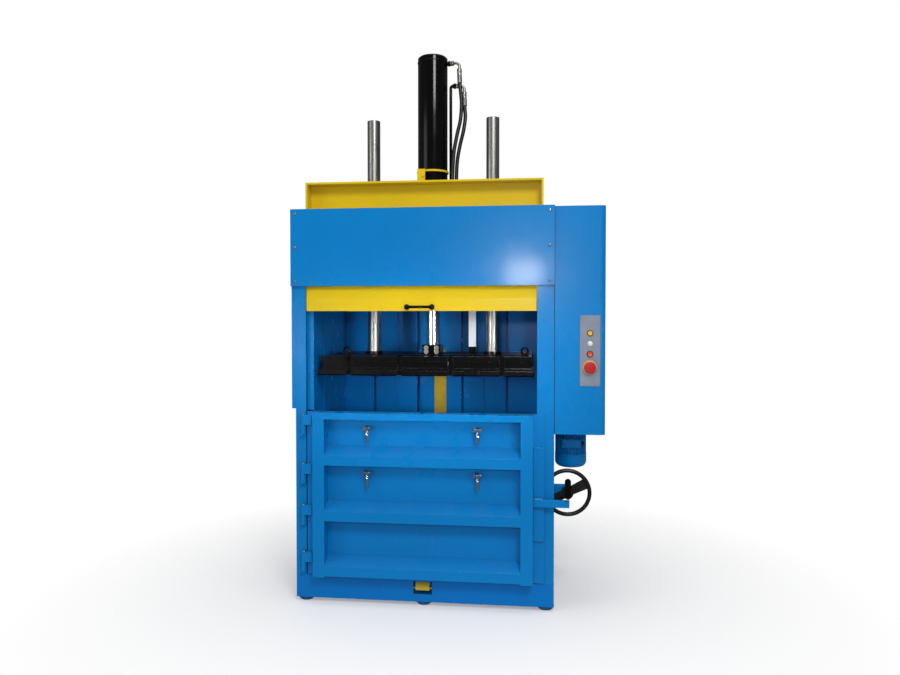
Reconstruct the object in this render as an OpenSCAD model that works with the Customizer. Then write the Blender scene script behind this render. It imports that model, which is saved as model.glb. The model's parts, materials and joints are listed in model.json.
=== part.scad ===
// Vertical recycling baler with a hydraulic ram, a sliding loading gate and a hinged bale door.
// Millimetres, +Z up. The modules below are drawn about the ram axis with the floor at zero;
// place() then moves everything so that the origin is the middle of the footprint on the floor.

/* [Chamber] */
// Clear width of the baling chamber
chamber_w = 1130; // [1040:5:1200]
// Ram axis to the inner face of the back wall
chamber_rear = 310; // [290:5:360]
// Ram axis to the front faces of the posts
front_face = 370; // [360:5:420]
// Thickness of the chamber walls
wall_t = 8; // [5:1:12]
// Height of the chamber floor
floor_h = 135; // [120:1:160]
// Room outside each side wall for ribs and posts
side_space = 77; // [70:1:100]
// Width of the vertical strap slots in the back wall
slot_w = 14; // [8:1:24]
// Distance between the strap slots
slot_pitch = 260; // [200:5:270]

/* [Posts and beams] */
// Top of the posts and walls
post_top = 1984; // [1940:2:2060]
// Thickness of the post plates
post_t = 10; // [6:1:14]
// Width of the left post's front lip
left_lip = 54; // [44:1:60]
// Width of the right post's front lip
right_lip = 84; // [76:1:90]
// Depth of the posts from front to rear
post_d = 120; // [100:2:140]
// Height of the crossbeam channels
beam_h = 140; // [110:2:180]
// Width of the crossbeam flanges
beam_flange = 80; // [60:2:110]
// Plate thickness of the crossbeams
beam_t = 10; // [8:1:16]
// Height of the foot pads
foot_h = 23; // [16:1:40]
// Radius of the foot pads
foot_r = 42; // [30:1:50]

/* [Ram] */
// Outer diameter of the hydraulic cylinder
barrel_d = 160; // [140:2:180]
// Wall thickness of the hydraulic cylinder
barrel_wall = 15; // [10:1:20]
// Height of the cylinder's top cap
barrel_top = 2846; // [2800:2:2920]
// Lowest face of the cylinder's gland
gland_z = 1625; // [1600:1:1650]
// Diameter of the piston rod
rod_d = 70; // [50:1:80]
// Diameter of the guide rods
guide_d = 70; // [50:1:80]
// Distance from the ram axis to each guide rod
guide_x = 325; // [290:5:360]
// Top of the guide rods with the ram half way
guide_top = 2515; // [2450:5:2560]
// Underside of the press plate with the ram half way
platen_z = 1151; // [1100:1:1160]
// Thickness of the press plate
platen_t = 25; // [16:1:30]
// Gap between the press plate and the side walls
platen_gap = 15; // [8:1:30]
// Height of the press beams on the plate
platen_beam_h = 74; // [60:1:76]

/* [Door] */
// Height of the bale door's lower edge
door_z0 = 145; // [142:1:160]
// Height of the bale door's upper edge
door_z1 = 972; // [940:1:980]
// Distance that the door's ribs stand in front of the posts
door_proud = 60; // [50:1:80]
// Thickness of the door's plates
door_t = 8; // [5:1:8]
// Width of the door's stiles
stile_w = 60; // [40:1:80]
// Height of the door's horizontal ribs
rib_h = 50; // [36:1:60]
// Rise of the sloping top of each rib
rib_slope = 42; // [20:1:60]
// Radius of the hinge pins
hinge_pin_r = 8; // [6:0.5:9]
// Height of one hinge knuckle
knuckle_h = 50; // [36:1:60]

/* [Gate] */
// Lower edge of the loading gate when raised
gate_z = 1478; // [1470:1:1490]
// Height of the loading gate
gate_h = 506; // [500:1:506]
// Thickness of the gate's sheet
gate_t = 6; // [4:0.5:8]
// Height of the folded rail at the foot of the gate
gate_rail_h = 122; // [100:1:122]

/* [Covers] */
// Height of the front fascia
fascia_h = 387; // [350:1:400]
// Depth of the fascia
fascia_d = 16; // [10:1:24]
// Thickness of the cover sheets
sheet_t = 3; // [2:0.5:4]
// Depth of the left side cover
side_cover_d = 20; // [12:1:30]
// Width of the control cabinet
cabinet_w = 245; // [230:1:270]
// Depth of the control cabinet
cabinet_d = 430; // [400:5:480]
// Height of the control cabinet
cabinet_h = 1110; // [1060:5:1160]
// Radius of the cabinet's front right edge
cabinet_r = 25; // [12:1:40]
// Width of the control plate
plate_w = 96; // [84:1:110]
// Height of the control plate
plate_h = 343; // [320:1:380]

/* [Lock] */
// Outer radius of the handwheel
wheel_r = 118; // [100:1:120]
// Radius of the handwheel's rim
rim_r = 10; // [8:0.5:14]
// Height of the lock spindle
lock_z = 585; // [560:1:620]
// Radius of the lock spindle
spindle_r = 12; // [9:0.5:16]
// Length of the lock finger from the spindle's axis
finger_l = 84; // [70:1:96]

/* [Power pack] */
// Radius of the motor's body
motor_r = 80; // [68:1:81]
// Length of the motor that hangs below the cabinet
motor_hang = 196; // [160:2:230]
// Height of the oil tank
tank_h = 330; // [240:5:420]
// Outer diameter of the hydraulic hoses
hose_d = 20; // [16:1:22]
// Width of the ejector strap
strap_w = 70; // [50:1:80]
// Thickness of the ejector strap
strap_t = 4; // [3:0.5:6]

/* [Hidden] */
$fn = 48;

// Shared clearances
slide_gap = 0.3;
seat_gap = 0.2;

// Main planes
chamber_x = chamber_w / 2;
wall_x = chamber_x + wall_t;
frame_x = wall_x + side_space;
front_y = -front_face;
rear_y = chamber_rear + 60;
base_top = floor_h + 5;
floor_t = 12;
back_outer = chamber_rear + wall_t;

// Door planes, from the posts forwards and from the opening inwards
door_front = front_y - door_proud;
skin_front = front_y + 12;
skin_back = skin_front + door_t;
flange_front = front_y - 1 - 9;
door_x = chamber_x - 5;
stile_x = chamber_x - 17;
hinge_x = -(frame_x - 44);
hinge_y = front_y - 16;
hinge_r = 14;
hinge_zs = [210, 449, 658, 905];

// Loading gate planes
gate_front = front_y + 12;
guide_front = front_y + 30;
guide_t = 8;
wall_front = guide_front + guide_t;
gate_left = frame_x - 30;
gate_right = chamber_x + 15;
web_right = chamber_x + 18;
lip_left = frame_x - left_lip;
lip_right = frame_x - right_lip;
opening_top = gate_z + 6;
opening_low = door_z1 + 3;

// Cabinet and power pack
cabinet_x = frame_x;
cabinet_x1 = cabinet_x + cabinet_w;
cabinet_z = post_top + 2 - cabinet_h;
motor_z = cabinet_z - motor_hang;
cabinet_y1 = front_y + cabinet_d;
motor_x = cabinet_x + motor_r + 8;
wheel_y = front_y + 36;
bearing_y0 = wheel_y + 34;
bearing_y1 = front_y + post_d - post_t;
spindle_end = bearing_y1 + 18;
motor_clear = 8;
motor_box_out = 22;
motor_y = spindle_end + motor_clear + motor_box_out + motor_r;
control_x = cabinet_x1 - 75;
control_z = cabinet_z + 237;
start_z = control_z + 257;
lamp_z = control_z + 207;
stop_z = control_z + 156;
estop_z = control_z + 91;

// Lock
lock_x = web_right + post_t + wheel_r + 4;
arm_z = lock_z - 60;
arm_h = 35;
arm_t = 18;
lock_plate_t = 10;
arm_front = flange_front - lock_plate_t - arm_t;
finger_t = 14;
finger_back = arm_front - 4;

// Ram
barrel_r = barrel_d / 2;
rod_r = rod_d / 2;
guide_r = guide_d / 2;
platen_top = platen_z + platen_t;
platen_x = chamber_x - platen_gap;
platen_front = skin_back + 28;
platen_rear = chamber_rear - 25;
coupling_z = platen_top + platen_beam_h;
piston_drop = 516;
piston_h = 60;
piston_z = barrel_top - piston_drop;
carrier_t = 24;
carrier_top = post_top + beam_h;
carrier_z = carrier_top - carrier_t;

// Origin: middle of the footprint, on the floor
shift_x = -(cabinet_x1 - frame_x - side_cover_d) / 2;
shift_y = -(rear_y + door_front) / 2;

blue = "#1a7ec2";
deep_blue = "#0c62a0";
yellow = "#d8b92c";
black = "#17181a";
steel = "#b8bcc0";

// An upright box between two corners
module block(x0, x1, y0, y1, z0, z1) {
    translate([x0, y0, z0]) cube([x1 - x0, y1 - y0, z1 - z0]);
}

// A round bar along Z, X or Y
module post_bar(x, y, r, z0, z1) {
    translate([x, y, z0]) cylinder(r = r, h = z1 - z0);
}
module bar_x(y, z, r, x0, x1) {
    translate([x0, y, z]) rotate([0, 90, 0]) cylinder(r = r, h = x1 - x0);
}
module bar_y(x, z, r, y0, y1) {
    translate([x, y1, z]) rotate([90, 0, 0]) cylinder(r = r, h = y1 - y0);
}

// The same shape on both sides of the machine
module both_sides() {
    children();
    mirror([1, 0, 0]) children();
}

module place() {
    translate([shift_x, shift_y, 0]) children();
}

// A profile drawn in the YZ plane and carried along X
module along_x(x0, x1) {
    translate([x0, 0, 0]) rotate([90, 0, 90]) linear_extrude(x1 - x0) children();
}

// Welded channel frame under the chamber
module base_frame() color(blue) {
    bearer_w = 60;
    flange_t = 10;
    difference() {
        both_sides() block(chamber_x, frame_x, front_y + post_t, rear_y, foot_h, base_top);
        both_sides() block(chamber_x + post_t, frame_x + 1, front_y, rear_y + 1,
                           foot_h + flange_t, base_top - flange_t);
    }
    for (y = [wall_front + bearer_w, 0, chamber_rear - bearer_w])
        block(-chamber_x, chamber_x, y - bearer_w / 2, y + bearer_w / 2, foot_h, floor_h - floor_t);
    block(-bearer_w / 2, bearer_w / 2, wall_front, rear_y, foot_h, foot_h + flange_t);
    block(-foot_r, foot_r, rear_y - 2 * foot_r, rear_y, foot_h, foot_h + flange_t);
}
foot_y = front_face - 50;

// Front sill under the door, with the slot of the ejector strap
strap_slot = strap_w / 2 + 12;
strap_pin_z = 92;
strap_pin_r = 8;
strap_pin_y = front_y + 4;
module front_sill() color(deep_blue) difference() {
    union() {
        block(-frame_x, frame_x, front_y, front_y + post_t, foot_h, base_top);
        block(-chamber_x, chamber_x, front_y + post_t, wall_front, base_top - post_t, base_top);
        block(-chamber_x, chamber_x, front_y + post_t, wall_front, foot_h, foot_h + post_t);
    }
    block(-strap_slot, strap_slot, front_y - 1, front_y + post_t + 1, strap_pin_z - 32, strap_pin_z + 33);
    block(-strap_slot, strap_slot, front_y + post_t - 1, wall_front + 1, base_top - post_t - 1, base_top + 1);
}

module floor_plate() color(deep_blue)
    block(-chamber_x, chamber_x, wall_front, chamber_rear, floor_h - floor_t, floor_h);

// Six pads with a chamfered foot
module feet() color(black)
    for (x = [-frame_x + foot_r - 2, 0, frame_x - foot_r + 2])
        for (y = [-foot_y, foot_y])
            translate([x, y, 0]) rotate_extrude() polygon([
                [0, 0], [foot_r * 0.72, 0], [foot_r, foot_h * 0.5], [foot_r, foot_h], [0, foot_h]]);

// The left post is a channel open towards the chamber, which guides the gate
module left_front_post() color(blue) {
    block(-frame_x, -lip_left, front_y, front_y + post_t, base_top, post_top);
    block(-frame_x, -frame_x + post_t, front_y, front_y + post_d, base_top, post_top);
    block(-frame_x, -wall_x, front_y + post_d - post_t, front_y + post_d, base_top, post_top);
}

// The right post is a channel open outwards, which leaves room for the handwheel
module right_front_post() color(blue) {
    block(lip_right, frame_x, front_y, front_y + post_t, base_top, post_top);
    block(web_right, web_right + post_t, front_y, front_y + post_d, base_top, post_top);
    block(wall_x, frame_x, front_y + post_d - post_t, front_y + post_d, base_top, post_top);
}

module rear_posts() color(blue) both_sides() {
    block(wall_x, frame_x, rear_y - post_t, rear_y, base_top, post_top);
    block(frame_x - post_t, frame_x, rear_y - post_d * 0.6, rear_y, base_top, post_top);
    block(wall_x, wall_x + post_t, back_outer, rear_y, base_top, post_top);
}

// Side wall on the +X side: a sheet with folded ribs outside and one shallow groove inside
rib_depth = 44;
side_rib_zs = [300, 500, 1080, 1330, 1580, 1830];
guide_groove_y = -148;
module side_wall(rib_front) difference() {
    union() {
        block(chamber_x, wall_x, wall_front, chamber_rear, base_top, post_top);
        for (z = side_rib_zs) difference() {
            block(wall_x, wall_x + rib_depth, rib_front, chamber_rear - 30, z, z + 80);
            block(wall_x - 1, wall_x + rib_depth - 6, rib_front + 6, chamber_rear - 36, z + 6, z + 74);
        }
    }
    block(chamber_x - 1, chamber_x + 3, guide_groove_y - 8, guide_groove_y, base_top + 60, post_top - 100);
}
module left_side_wall() color(deep_blue) mirror([1, 0, 0]) side_wall(front_y + post_d);
module right_side_wall() color(deep_blue) side_wall(front_y + post_d);

// Back wall of folded pans, with the slots for the tying straps between them
slot_xs = [-1.5 * slot_pitch, -0.5 * slot_pitch, 0.5 * slot_pitch, 1.5 * slot_pitch];
peg_z = 1250;
peg_r = 6;
peg_y = chamber_rear - peg_r - strap_t - 2 * seat_gap - 1;
module back_wall() color(deep_blue) {
    rib_t = 8;
    difference() {
        union() {
            block(-wall_x, wall_x, chamber_rear, back_outer, base_top, post_top);
            block(-chamber_x + seat_gap, chamber_x - seat_gap, chamber_rear + seat_gap, back_outer, floor_h - wall_t, base_top + 1);
        }
        for (x = slot_xs)
            block(x - slot_w / 2, x + slot_w / 2, chamber_rear - 1, back_outer + 1, base_top + 60, post_top - 90);
        for (x = [-slot_pitch, slot_pitch])
            block(x - 3, x + 3, chamber_rear - 1, chamber_rear + 3, base_top + 60, post_top - 90);
    }
    for (x = slot_xs) {
        channel_x = slot_w / 2 + rib_t;
        for (side = [-1, 1])
            block(x + side * channel_x - (side + 1) / 2 * rib_t, x + side * channel_x + (1 - side) / 2 * rib_t,
                  back_outer, rear_y - post_t, base_top, post_top);
        block(x - channel_x, x + channel_x, rear_y - post_t - wall_t, rear_y - post_t, base_top, post_top);
    }
    for (side = [-1, 1]) difference() {
        x = side * (strap_slot - 4);
        block(x - 4, x + 4, peg_y - 8, chamber_rear, peg_z - 10, peg_z + 10);
        bar_x(peg_y, peg_z, peg_r, -strap_slot - 1, strap_slot + 1);
    }
}

module front_header() color(deep_blue)
    block(-chamber_x, chamber_x, guide_front, wall_front, opening_top, post_top);

// Rear strips of the gate's guides, on the front edges of the side walls
module gate_guides() color(blue) {
    block(-lip_left - 4, -chamber_x, guide_front, wall_front, opening_low, post_top);
    block(chamber_x, web_right, guide_front, wall_front, opening_low, post_top);
}

// Two channels on the posts, open to the front and to the rear, tied by end plates
module crossbeams() color(yellow) {
    beam_x = frame_x - 55;
    tie_y = front_face - beam_flange;
    for (side = [0, 1]) mirror([0, side, 0]) {
        block(-beam_x, beam_x, -tie_y - beam_t, -tie_y, post_top, carrier_top);
        for (z = [post_top, carrier_top - beam_t])
            block(-beam_x, beam_x, -tie_y - beam_flange, -tie_y, z, z + beam_t);
        for (x = [-beam_x, beam_x - beam_t])
            block(x, x + beam_t, -tie_y - beam_flange, 0, post_top, carrier_top);
    }
}

// Plate between the crossbeams that holds the cylinder and the guide bushes
hose_hole_x = barrel_r + 35;
hose_hole_y = -28;
bush_r = guide_r + 15;
module cylinder_carrier() color(yellow) {
    carrier_x = guide_x + 90;
    tie_y = front_face - beam_flange;
    difference() {
        block(-carrier_x, carrier_x, -tie_y, tie_y, carrier_z, carrier_top);
        post_bar(0, 0, barrel_r + seat_gap, carrier_z - 1, carrier_top + 1);
        both_sides() post_bar(guide_x, 0, bush_r + seat_gap, carrier_z - 1, carrier_top + 1);
        block(barrel_r + 1, hose_hole_x + 34, hose_hole_y - 42, 16, carrier_z - 1, carrier_top + 1);
    }
    for (x = [-carrier_x, carrier_x - beam_t])
        block(x, x + beam_t, -tie_y, tie_y, post_top, carrier_z);
}

// Cylinder tube with a closed, chamfered top and a flange bolted under the carrier
gland_h = 45;
flange_r = barrel_r + 38;
flange_t = 25;
flange_flat = barrel_r + 3;
module cylinder_barrel() color(black) {
    bore_r = barrel_r - barrel_wall;
    cap_t = 28;
    edge = 8;
    rotate_extrude() polygon([
        [0, barrel_top - cap_t], [bore_r, barrel_top - cap_t], [bore_r, gland_z + gland_h],
        [barrel_r, gland_z + gland_h], [barrel_r, barrel_top - edge], [barrel_r - edge, barrel_top],
        [0, barrel_top]]);
    difference() {
        post_bar(0, 0, flange_r, carrier_z - flange_t, carrier_z);
        post_bar(0, 0, barrel_r - 1, carrier_z - flange_t - 1, carrier_z + 1);
        block(flange_flat, flange_r + 1, -flange_r, flange_r, carrier_z - flange_t - 1, carrier_z + 1);
    }
}

module cylinder_gland() color(black) difference() {
    union() {
        post_bar(0, 0, barrel_r, gland_z + 12, gland_z + gland_h);
        post_bar(0, 0, barrel_r - 14, gland_z, gland_z + 12);
    }
    post_bar(0, 0, rod_r + slide_gap, gland_z - 1, gland_z + gland_h + 1);
}

// Clamp band round the cylinder, with a lug that stands on the carrier
band_h = 10;
band_z = carrier_top + 100;
module cylinder_band() color(yellow) {
    band_t = 6;
    lug_x = -barrel_r * 0.87;
    lug_w = 42;
    lug_y = -barrel_r - band_t - 4;
    difference() {
        post_bar(0, 0, barrel_r + seat_gap + band_t, band_z, band_z + band_h);
        post_bar(0, 0, barrel_r + seat_gap, band_z - 1, band_z + band_h + 1);
    }
    difference() {
        block(lug_x, lug_x + lug_w, lug_y - 8, lug_y + 40, carrier_top, band_z + band_h);
        block(lug_x - 1, lug_x + lug_w + 1, lug_y, lug_y + 60, carrier_top + 10, band_z);
        post_bar(0, 0, barrel_r + seat_gap, carrier_top - 1, band_z + band_h + 1);
    }
    bar_y(lug_x + lug_w - 9, band_z - 26, 7, lug_y - 16, lug_y);
}

bush_l = 310;
bush_flange = 18;
module guide_bushes() color(black) both_sides() difference() {
    union() {
        post_bar(guide_x, 0, bush_r, carrier_z - bush_l, carrier_top + 6);
        post_bar(guide_x, 0, bush_r + bush_flange, carrier_z - bush_flange, carrier_z);
    }
    post_bar(guide_x, 0, guide_r + slide_gap, carrier_z - bush_l - 1, carrier_top + 7);
}

// Ports, elbows and the long pipe to the rod side
pipe_x = barrel_r + 18;
pipe_r = 8;
top_port_z = barrel_top - 40;
low_port_z = barrel_top - 154;
port_turn = 12;
upper_ferrule_x = barrel_r + 72;
lower_ferrule_x = barrel_r + 92;
ferrule_l = 42;
hose_r = hose_d / 2;
module elbow(x0, x1, z) {
    union_r = 13;
    bar_x(0, z, pipe_r, x0, x1);
    bar_x(0, z, union_r, x0 + 18, x0 + 40);
    translate([x1, 0, z]) sphere(r = union_r + 2);
    post_bar(x1, 0, union_r, z - 30, z);
    post_bar(x1, 0, hose_r + 2, z - 30 - ferrule_l, z - 30);
}
module hydraulic_pipework() color(black) {
    rotate([0, 0, -port_turn]) elbow(barrel_r, upper_ferrule_x, top_port_z);
    elbow(pipe_x, lower_ferrule_x, low_port_z);
    post_bar(pipe_x, 0, pipe_r, gland_z + gland_h + 40, low_port_z + 10);
    translate([pipe_x, 0, low_port_z]) sphere(r = pipe_r + 6);
    bar_x(0, gland_z + gland_h + 40, pipe_r + 4, barrel_r, pipe_x + pipe_r + 6);
    for (y = bulkhead_ys) bar_x(y, bulkhead_z, hose_r + 6, chamber_x - 60, chamber_x);
}

// A round tube swept along a smooth curve through a route's points
function spline(a, b, c, d, t) = 0.5 * ((2 * b) + (c - a) * t + (2 * a - 5 * b + 4 * c - d) * t * t
    + (3 * b - a - 3 * c + d) * t * t * t);
function curve(route, steps) = [
    for (i = [0 : len(route) - 2], k = [0 : steps - 1])
        spline(route[max(i - 1, 0)], route[i], route[i + 1], route[min(i + 2, len(route) - 1)], k / steps),
    route[len(route) - 1]];
function unit(v) = v / norm(v);
function heading(line, i) = unit(line[min(i + 1, len(line) - 1)] - line[max(i - 1, 0)]);
module tube(route, r, steps = 3, sides = 10) {
    line = curve(route, steps);
    rings = len(line);
    points = [for (i = [0 : rings - 1]) let (
        along = heading(line, i),
        across = unit(cross(along, [0, 1, 0])),
        up = cross(across, along))
        for (k = [0 : sides - 1]) line[i] + r * (cos(360 * k / sides) * across + sin(360 * k / sides) * up)];
    skin = [for (i = [0 : rings - 2], k = [0 : sides - 1]) let (n = (k + 1) % sides)
        [i * sides + k, i * sides + n, (i + 1) * sides + n, (i + 1) * sides + k]];
    first = [[for (k = [sides - 1 : -1 : 0]) k]];
    last = [[for (k = [0 : sides - 1]) (rings - 1) * sides + k]];
    polyhedron(points, concat(skin, first, last), convexity = 6);
}

// Hose routes, from the ferrules on the cylinder down to the bulkhead in the right wall
bulkhead_z = 1760;
bulkhead_ys = [-120, -75];
hose_start = 0.8;
upper_hose_route = [
    [upper_ferrule_x * cos(port_turn), -upper_ferrule_x * sin(port_turn), top_port_z - 30 - ferrule_l - hose_start],
    [150, -32, 2700], [156, -34, 2640], [160, -36, 2580], [154, -38, 2500], [136, -40, 2420], [120, -42, 2330],
    [112, -42, 2210], [112, -44, 2100], [116, -56, 1980], [148, -94, 1865], [230, -116, 1790],
    [360, -120, bulkhead_z], [chamber_x - 60 - hose_start, bulkhead_ys[0], bulkhead_z]];
lower_hose_route = [
    [lower_ferrule_x, 0, low_port_z - 30 - ferrule_l - hose_start], [174, -2, 2575], [177, -6, 2520],
    [168, -10, 2450], [149, -12, 2370], [135, -12, 2290], [130, -12, 2200], [131, -14, 2100], [140, -26, 1990],
    [174, -56, 1880], [250, -74, 1795], [380, -75, bulkhead_z],
    [chamber_x - 60 - hose_start, bulkhead_ys[1], bulkhead_z]];
module upper_hose() color(black) tube(upper_hose_route, hose_r);
module lower_hose() color(black) tube(lower_hose_route, hose_r);

// Folded front fascia: a tray open to the rear
fascia_z = post_top + 6 - fascia_h;
fascia_x0 = -frame_x - side_cover_d;
fascia_x1 = frame_x;
module tray_y(x0, x1, y0, y1, z0, z1) difference() {
    block(x0, x1, y0, y1, z0, z1);
    block(x0 + sheet_t, x1 - sheet_t, y0 + sheet_t, y1 + 1, z0 + sheet_t, z1 - sheet_t);
}
module fascia() color(blue)
    tray_y(fascia_x0, fascia_x1, front_y - fascia_d, front_y, fascia_z, post_top + 6);

module fascia_screws() color(steel) {
    edge = 24;
    for (x = [fascia_x0 + edge, fascia_x1 - edge], k = [0 : 2]) {
        z = fascia_z + edge + k * (fascia_h - 2 * edge) / 2;
        bar_y(x, z, 7, front_y - fascia_d - 4, front_y - fascia_d);
    }
}

// Shallow cover on the left side of the upper housing
module left_side_cover() color(blue) difference() {
    block(-frame_x - side_cover_d, -frame_x, front_y, rear_y, opening_low + 10, post_top);
    block(-frame_x - side_cover_d + sheet_t, -frame_x + 1, front_y + sheet_t, rear_y - sheet_t,
          opening_low + 10 + sheet_t, post_top - sheet_t);
}

// Plan of the cabinet, with its front right edge rounded, grown inwards by a wall
module cabinet_plan(wall) {
    x0 = cabinet_x + wall;
    x1 = cabinet_x1 - wall;
    y0 = front_y + wall;
    r = cabinet_r - wall;
    translate([x0, y0]) square([x1 - x0 - r, r]);
    translate([x0, y0 + r]) square([x1 - x0, cabinet_y1 - wall - y0 - r]);
    translate([x1 - r, y0 + r]) circle(r = r);
}
cover_d = 60;
module cabinet_shell() color(blue) difference() {
    translate([0, 0, cabinet_z]) linear_extrude(cabinet_h) cabinet_plan(0);
    translate([0, 0, cabinet_z + sheet_t]) linear_extrude(cabinet_h - 2 * sheet_t) cabinet_plan(sheet_t);
    block(cabinet_x - 1, cabinet_x1 + 1, front_y - 1, front_y + cover_d, cabinet_z - 1, cabinet_z + cabinet_h + 1);
    post_bar(motor_x, motor_y, motor_r + 1, cabinet_z - 1, cabinet_z + sheet_t + 1);
}
module cabinet_cover() color(blue) difference() {
    translate([0, 0, cabinet_z]) linear_extrude(cabinet_h) cabinet_plan(0);
    translate([0, 0, cabinet_z + sheet_t]) linear_extrude(cabinet_h - 2 * sheet_t) cabinet_plan(sheet_t);
    block(cabinet_x - 1, cabinet_x1 + 1, front_y + cover_d, cabinet_y1 + 1, cabinet_z - 1, cabinet_z + cabinet_h + 1);
    for (b = button_holes) bar_y(control_x, b[0], b[1] + slide_gap, front_y - 1, front_y + sheet_t + 1);
}

// Control plate and what sits in it
plate_t = 4;
start_r = 11;
lamp_r = 9;
stop_r = 12;
estop_stem_r = 11;
estop_r = 29;
button_holes = [[start_z, start_r], [lamp_z, lamp_r], [stop_z, stop_r], [estop_z, estop_stem_r]];
press_travel = 5;
module control_plate() color("#a9b0bd") difference() {
    block(control_x - plate_w / 2, control_x + plate_w / 2, front_y - plate_t, front_y, control_z, control_z + plate_h);
    for (b = button_holes) bar_y(control_x, b[0], b[1] + slide_gap, front_y - plate_t - 1, front_y + 1);
}
module indicator_lamp() color("white") {
    bar_y(control_x, lamp_z, lamp_r, front_y - plate_t - 6, front_y + 20);
    bar_y(control_x, lamp_z, lamp_r + 3, front_y - plate_t - 3, front_y - plate_t);
}
module push_button(z, r) {
    bar_y(control_x, z, r, front_y - plate_t - 7, front_y + 22);
    bar_y(control_x, z, r + 3, front_y + sheet_t + slide_gap, front_y + sheet_t + 3);
}
module start_button() color("#e0b020") push_button(start_z, start_r);
module stop_button() color("#c8442c") push_button(stop_z, stop_r);
module emergency_stop() color("#b01e2c") {
    bar_y(control_x, estop_z, estop_stem_r, front_y - plate_t - 14, front_y + 22);
    bar_y(control_x, estop_z, estop_stem_r + 3, front_y + sheet_t + slide_gap, front_y + sheet_t + 3);
    translate([control_x, front_y - plate_t - 10, estop_z]) rotate([90, 0, 0]) rotate_extrude() polygon([
        [0, 0], [estop_r - 4, 0], [estop_r, 5], [estop_r - 2, 14], [estop_r - 9, 18], [0, 19]]);
}

// Hydraulic power pack
tank_y0 = motor_y + motor_r + 12;
module oil_tank() color("#4a5560")
    block(cabinet_x + 30, cabinet_x1 - 25, tank_y0, cabinet_y1 - sheet_t, cabinet_z + sheet_t, cabinet_z + tank_h);
motor_rise = 60;
motor_top = cabinet_z + motor_rise;
pump_w = 90;
pump_h = 100;
bell_h = 70;
module pump_unit() color("#5a6168") {
    post_bar(motor_x, motor_y, motor_r * 0.9, motor_top, motor_top + bell_h);
    block(motor_x - pump_w / 2, motor_x + pump_w / 2, motor_y - pump_w / 2, tank_y0,
          motor_top + bell_h, motor_top + bell_h + pump_h);
}
cowl_h = 70;
module motor_housing() color(blue) {
    fins = 28;
    box_w = 96;
    box_h = 44;
    box_z = motor_z + cowl_h + 36;
    post_bar(motor_x, motor_y, motor_r - 8, motor_z + cowl_h, motor_top);
    post_bar(motor_x, motor_y, motor_r, cabinet_z - 12, motor_top);
    for (k = [0 : fins - 1]) translate([motor_x, motor_y, 0]) rotate([0, 0, 360 * k / fins])
        block(motor_r - 12, motor_r - 1, -2, 2, motor_z + cowl_h, cabinet_z - 6);
    block(motor_x - box_w / 2, motor_x + box_w / 2, motor_y - motor_r - motor_box_out, motor_y - motor_r + 17, box_z, box_z + box_h);
}
module motor_cowl() color(blue) translate([motor_x, motor_y, motor_z]) rotate_extrude() {
    edge = 30;
    difference() {
        union() {
            square([motor_r - edge, cowl_h]);
            translate([0, edge]) square([motor_r, cowl_h - edge]);
            translate([motor_r - edge, edge]) circle(r = edge);
        }
        translate([-motor_r, -1]) square([motor_r, cowl_h + 2]);
    }
}

// Bearing of the lock spindle on the right post
module lock_bracket() color(blue) difference() {
    union() {
        bar_y(lock_x, lock_z, spindle_r + 14, bearing_y0, bearing_y1);
        block(web_right + post_t, lock_x, bearing_y1 - 30, bearing_y1, lock_z - 26, lock_z + 26);
    }
    bar_y(lock_x, lock_z, spindle_r + slide_gap, bearing_y0 - 1, bearing_y1 + 1);
}

// Lower knuckles with their pins, welded to the left post
module frame_hinges() color(blue) for (z = hinge_zs) {
    post_bar(hinge_x, hinge_y, hinge_r, z - knuckle_h, z);
    post_bar(hinge_x, hinge_y, hinge_pin_r, z, z + knuckle_h);
    block(hinge_x - hinge_r, hinge_x, hinge_y, front_y, z - knuckle_h, z);
}
module door_hinges() color(blue) for (z = hinge_zs) difference() {
    union() {
        post_bar(hinge_x, hinge_y, hinge_r, z + slide_gap, z + knuckle_h);
        block(hinge_x, -door_x, hinge_y - hinge_r, flange_front, z + slide_gap, z + knuckle_h);
    }
    post_bar(hinge_x, hinge_y, hinge_pin_r + slide_gap, z - 1, z + knuckle_h + 1);
}

// Ejector strap: looped on the sill's pin, over the floor and up the back wall to a peg
module strip(line, t) {
    n = len(line) - 1;
    function side(i) = let (d = unit(line[min(i + 1, n)] - line[max(i - 1, 0)])) [-d[1], d[0]] * t / 2;
    polygon(concat([for (i = [0 : n]) line[i] + side(i)], [for (i = [n : -1 : 0]) line[i] - side(i)]));
}
module loop_2d(y, z, r) translate([y, z]) difference() {
    circle(r = r + seat_gap + strap_t);
    circle(r = r + seat_gap);
}
module ejector_strap() color(yellow) {
    lie = floor_h + seat_gap + strap_t / 2;
    hang = chamber_rear - seat_gap - strap_t / 2;
    pin_out = strap_pin_r + seat_gap + strap_t / 2;
    along_x(-strap_w / 2, strap_w / 2) loop_2d(strap_pin_y, strap_pin_z, strap_pin_r);
    along_x(-strap_w / 2, strap_w / 2) loop_2d(peg_y, peg_z, peg_r);
    along_x(-strap_w / 2, strap_w / 2) strip([
        [strap_pin_y - pin_out, strap_pin_z - 1], [strap_pin_y - pin_out, strap_pin_z + 8],
        [strap_pin_y - pin_out + 4, strap_pin_z + 18],
        [front_y + 12, strap_pin_z + 28], [front_y + 23, base_top - 10], [wall_front - 6, lie - 0.3],
        [wall_front + 12, lie], [hang - 40, lie], [hang - 12, lie + 6], [hang - 2, lie + 22], [hang, lie + 60],
        [hang, peg_z]], strap_t);
}
module strap_pins() color(steel) {
    bar_x(strap_pin_y, strap_pin_z, strap_pin_r, -strap_slot, strap_slot);
    bar_x(peg_y, peg_z, peg_r, -strap_slot, strap_slot);
}

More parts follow.
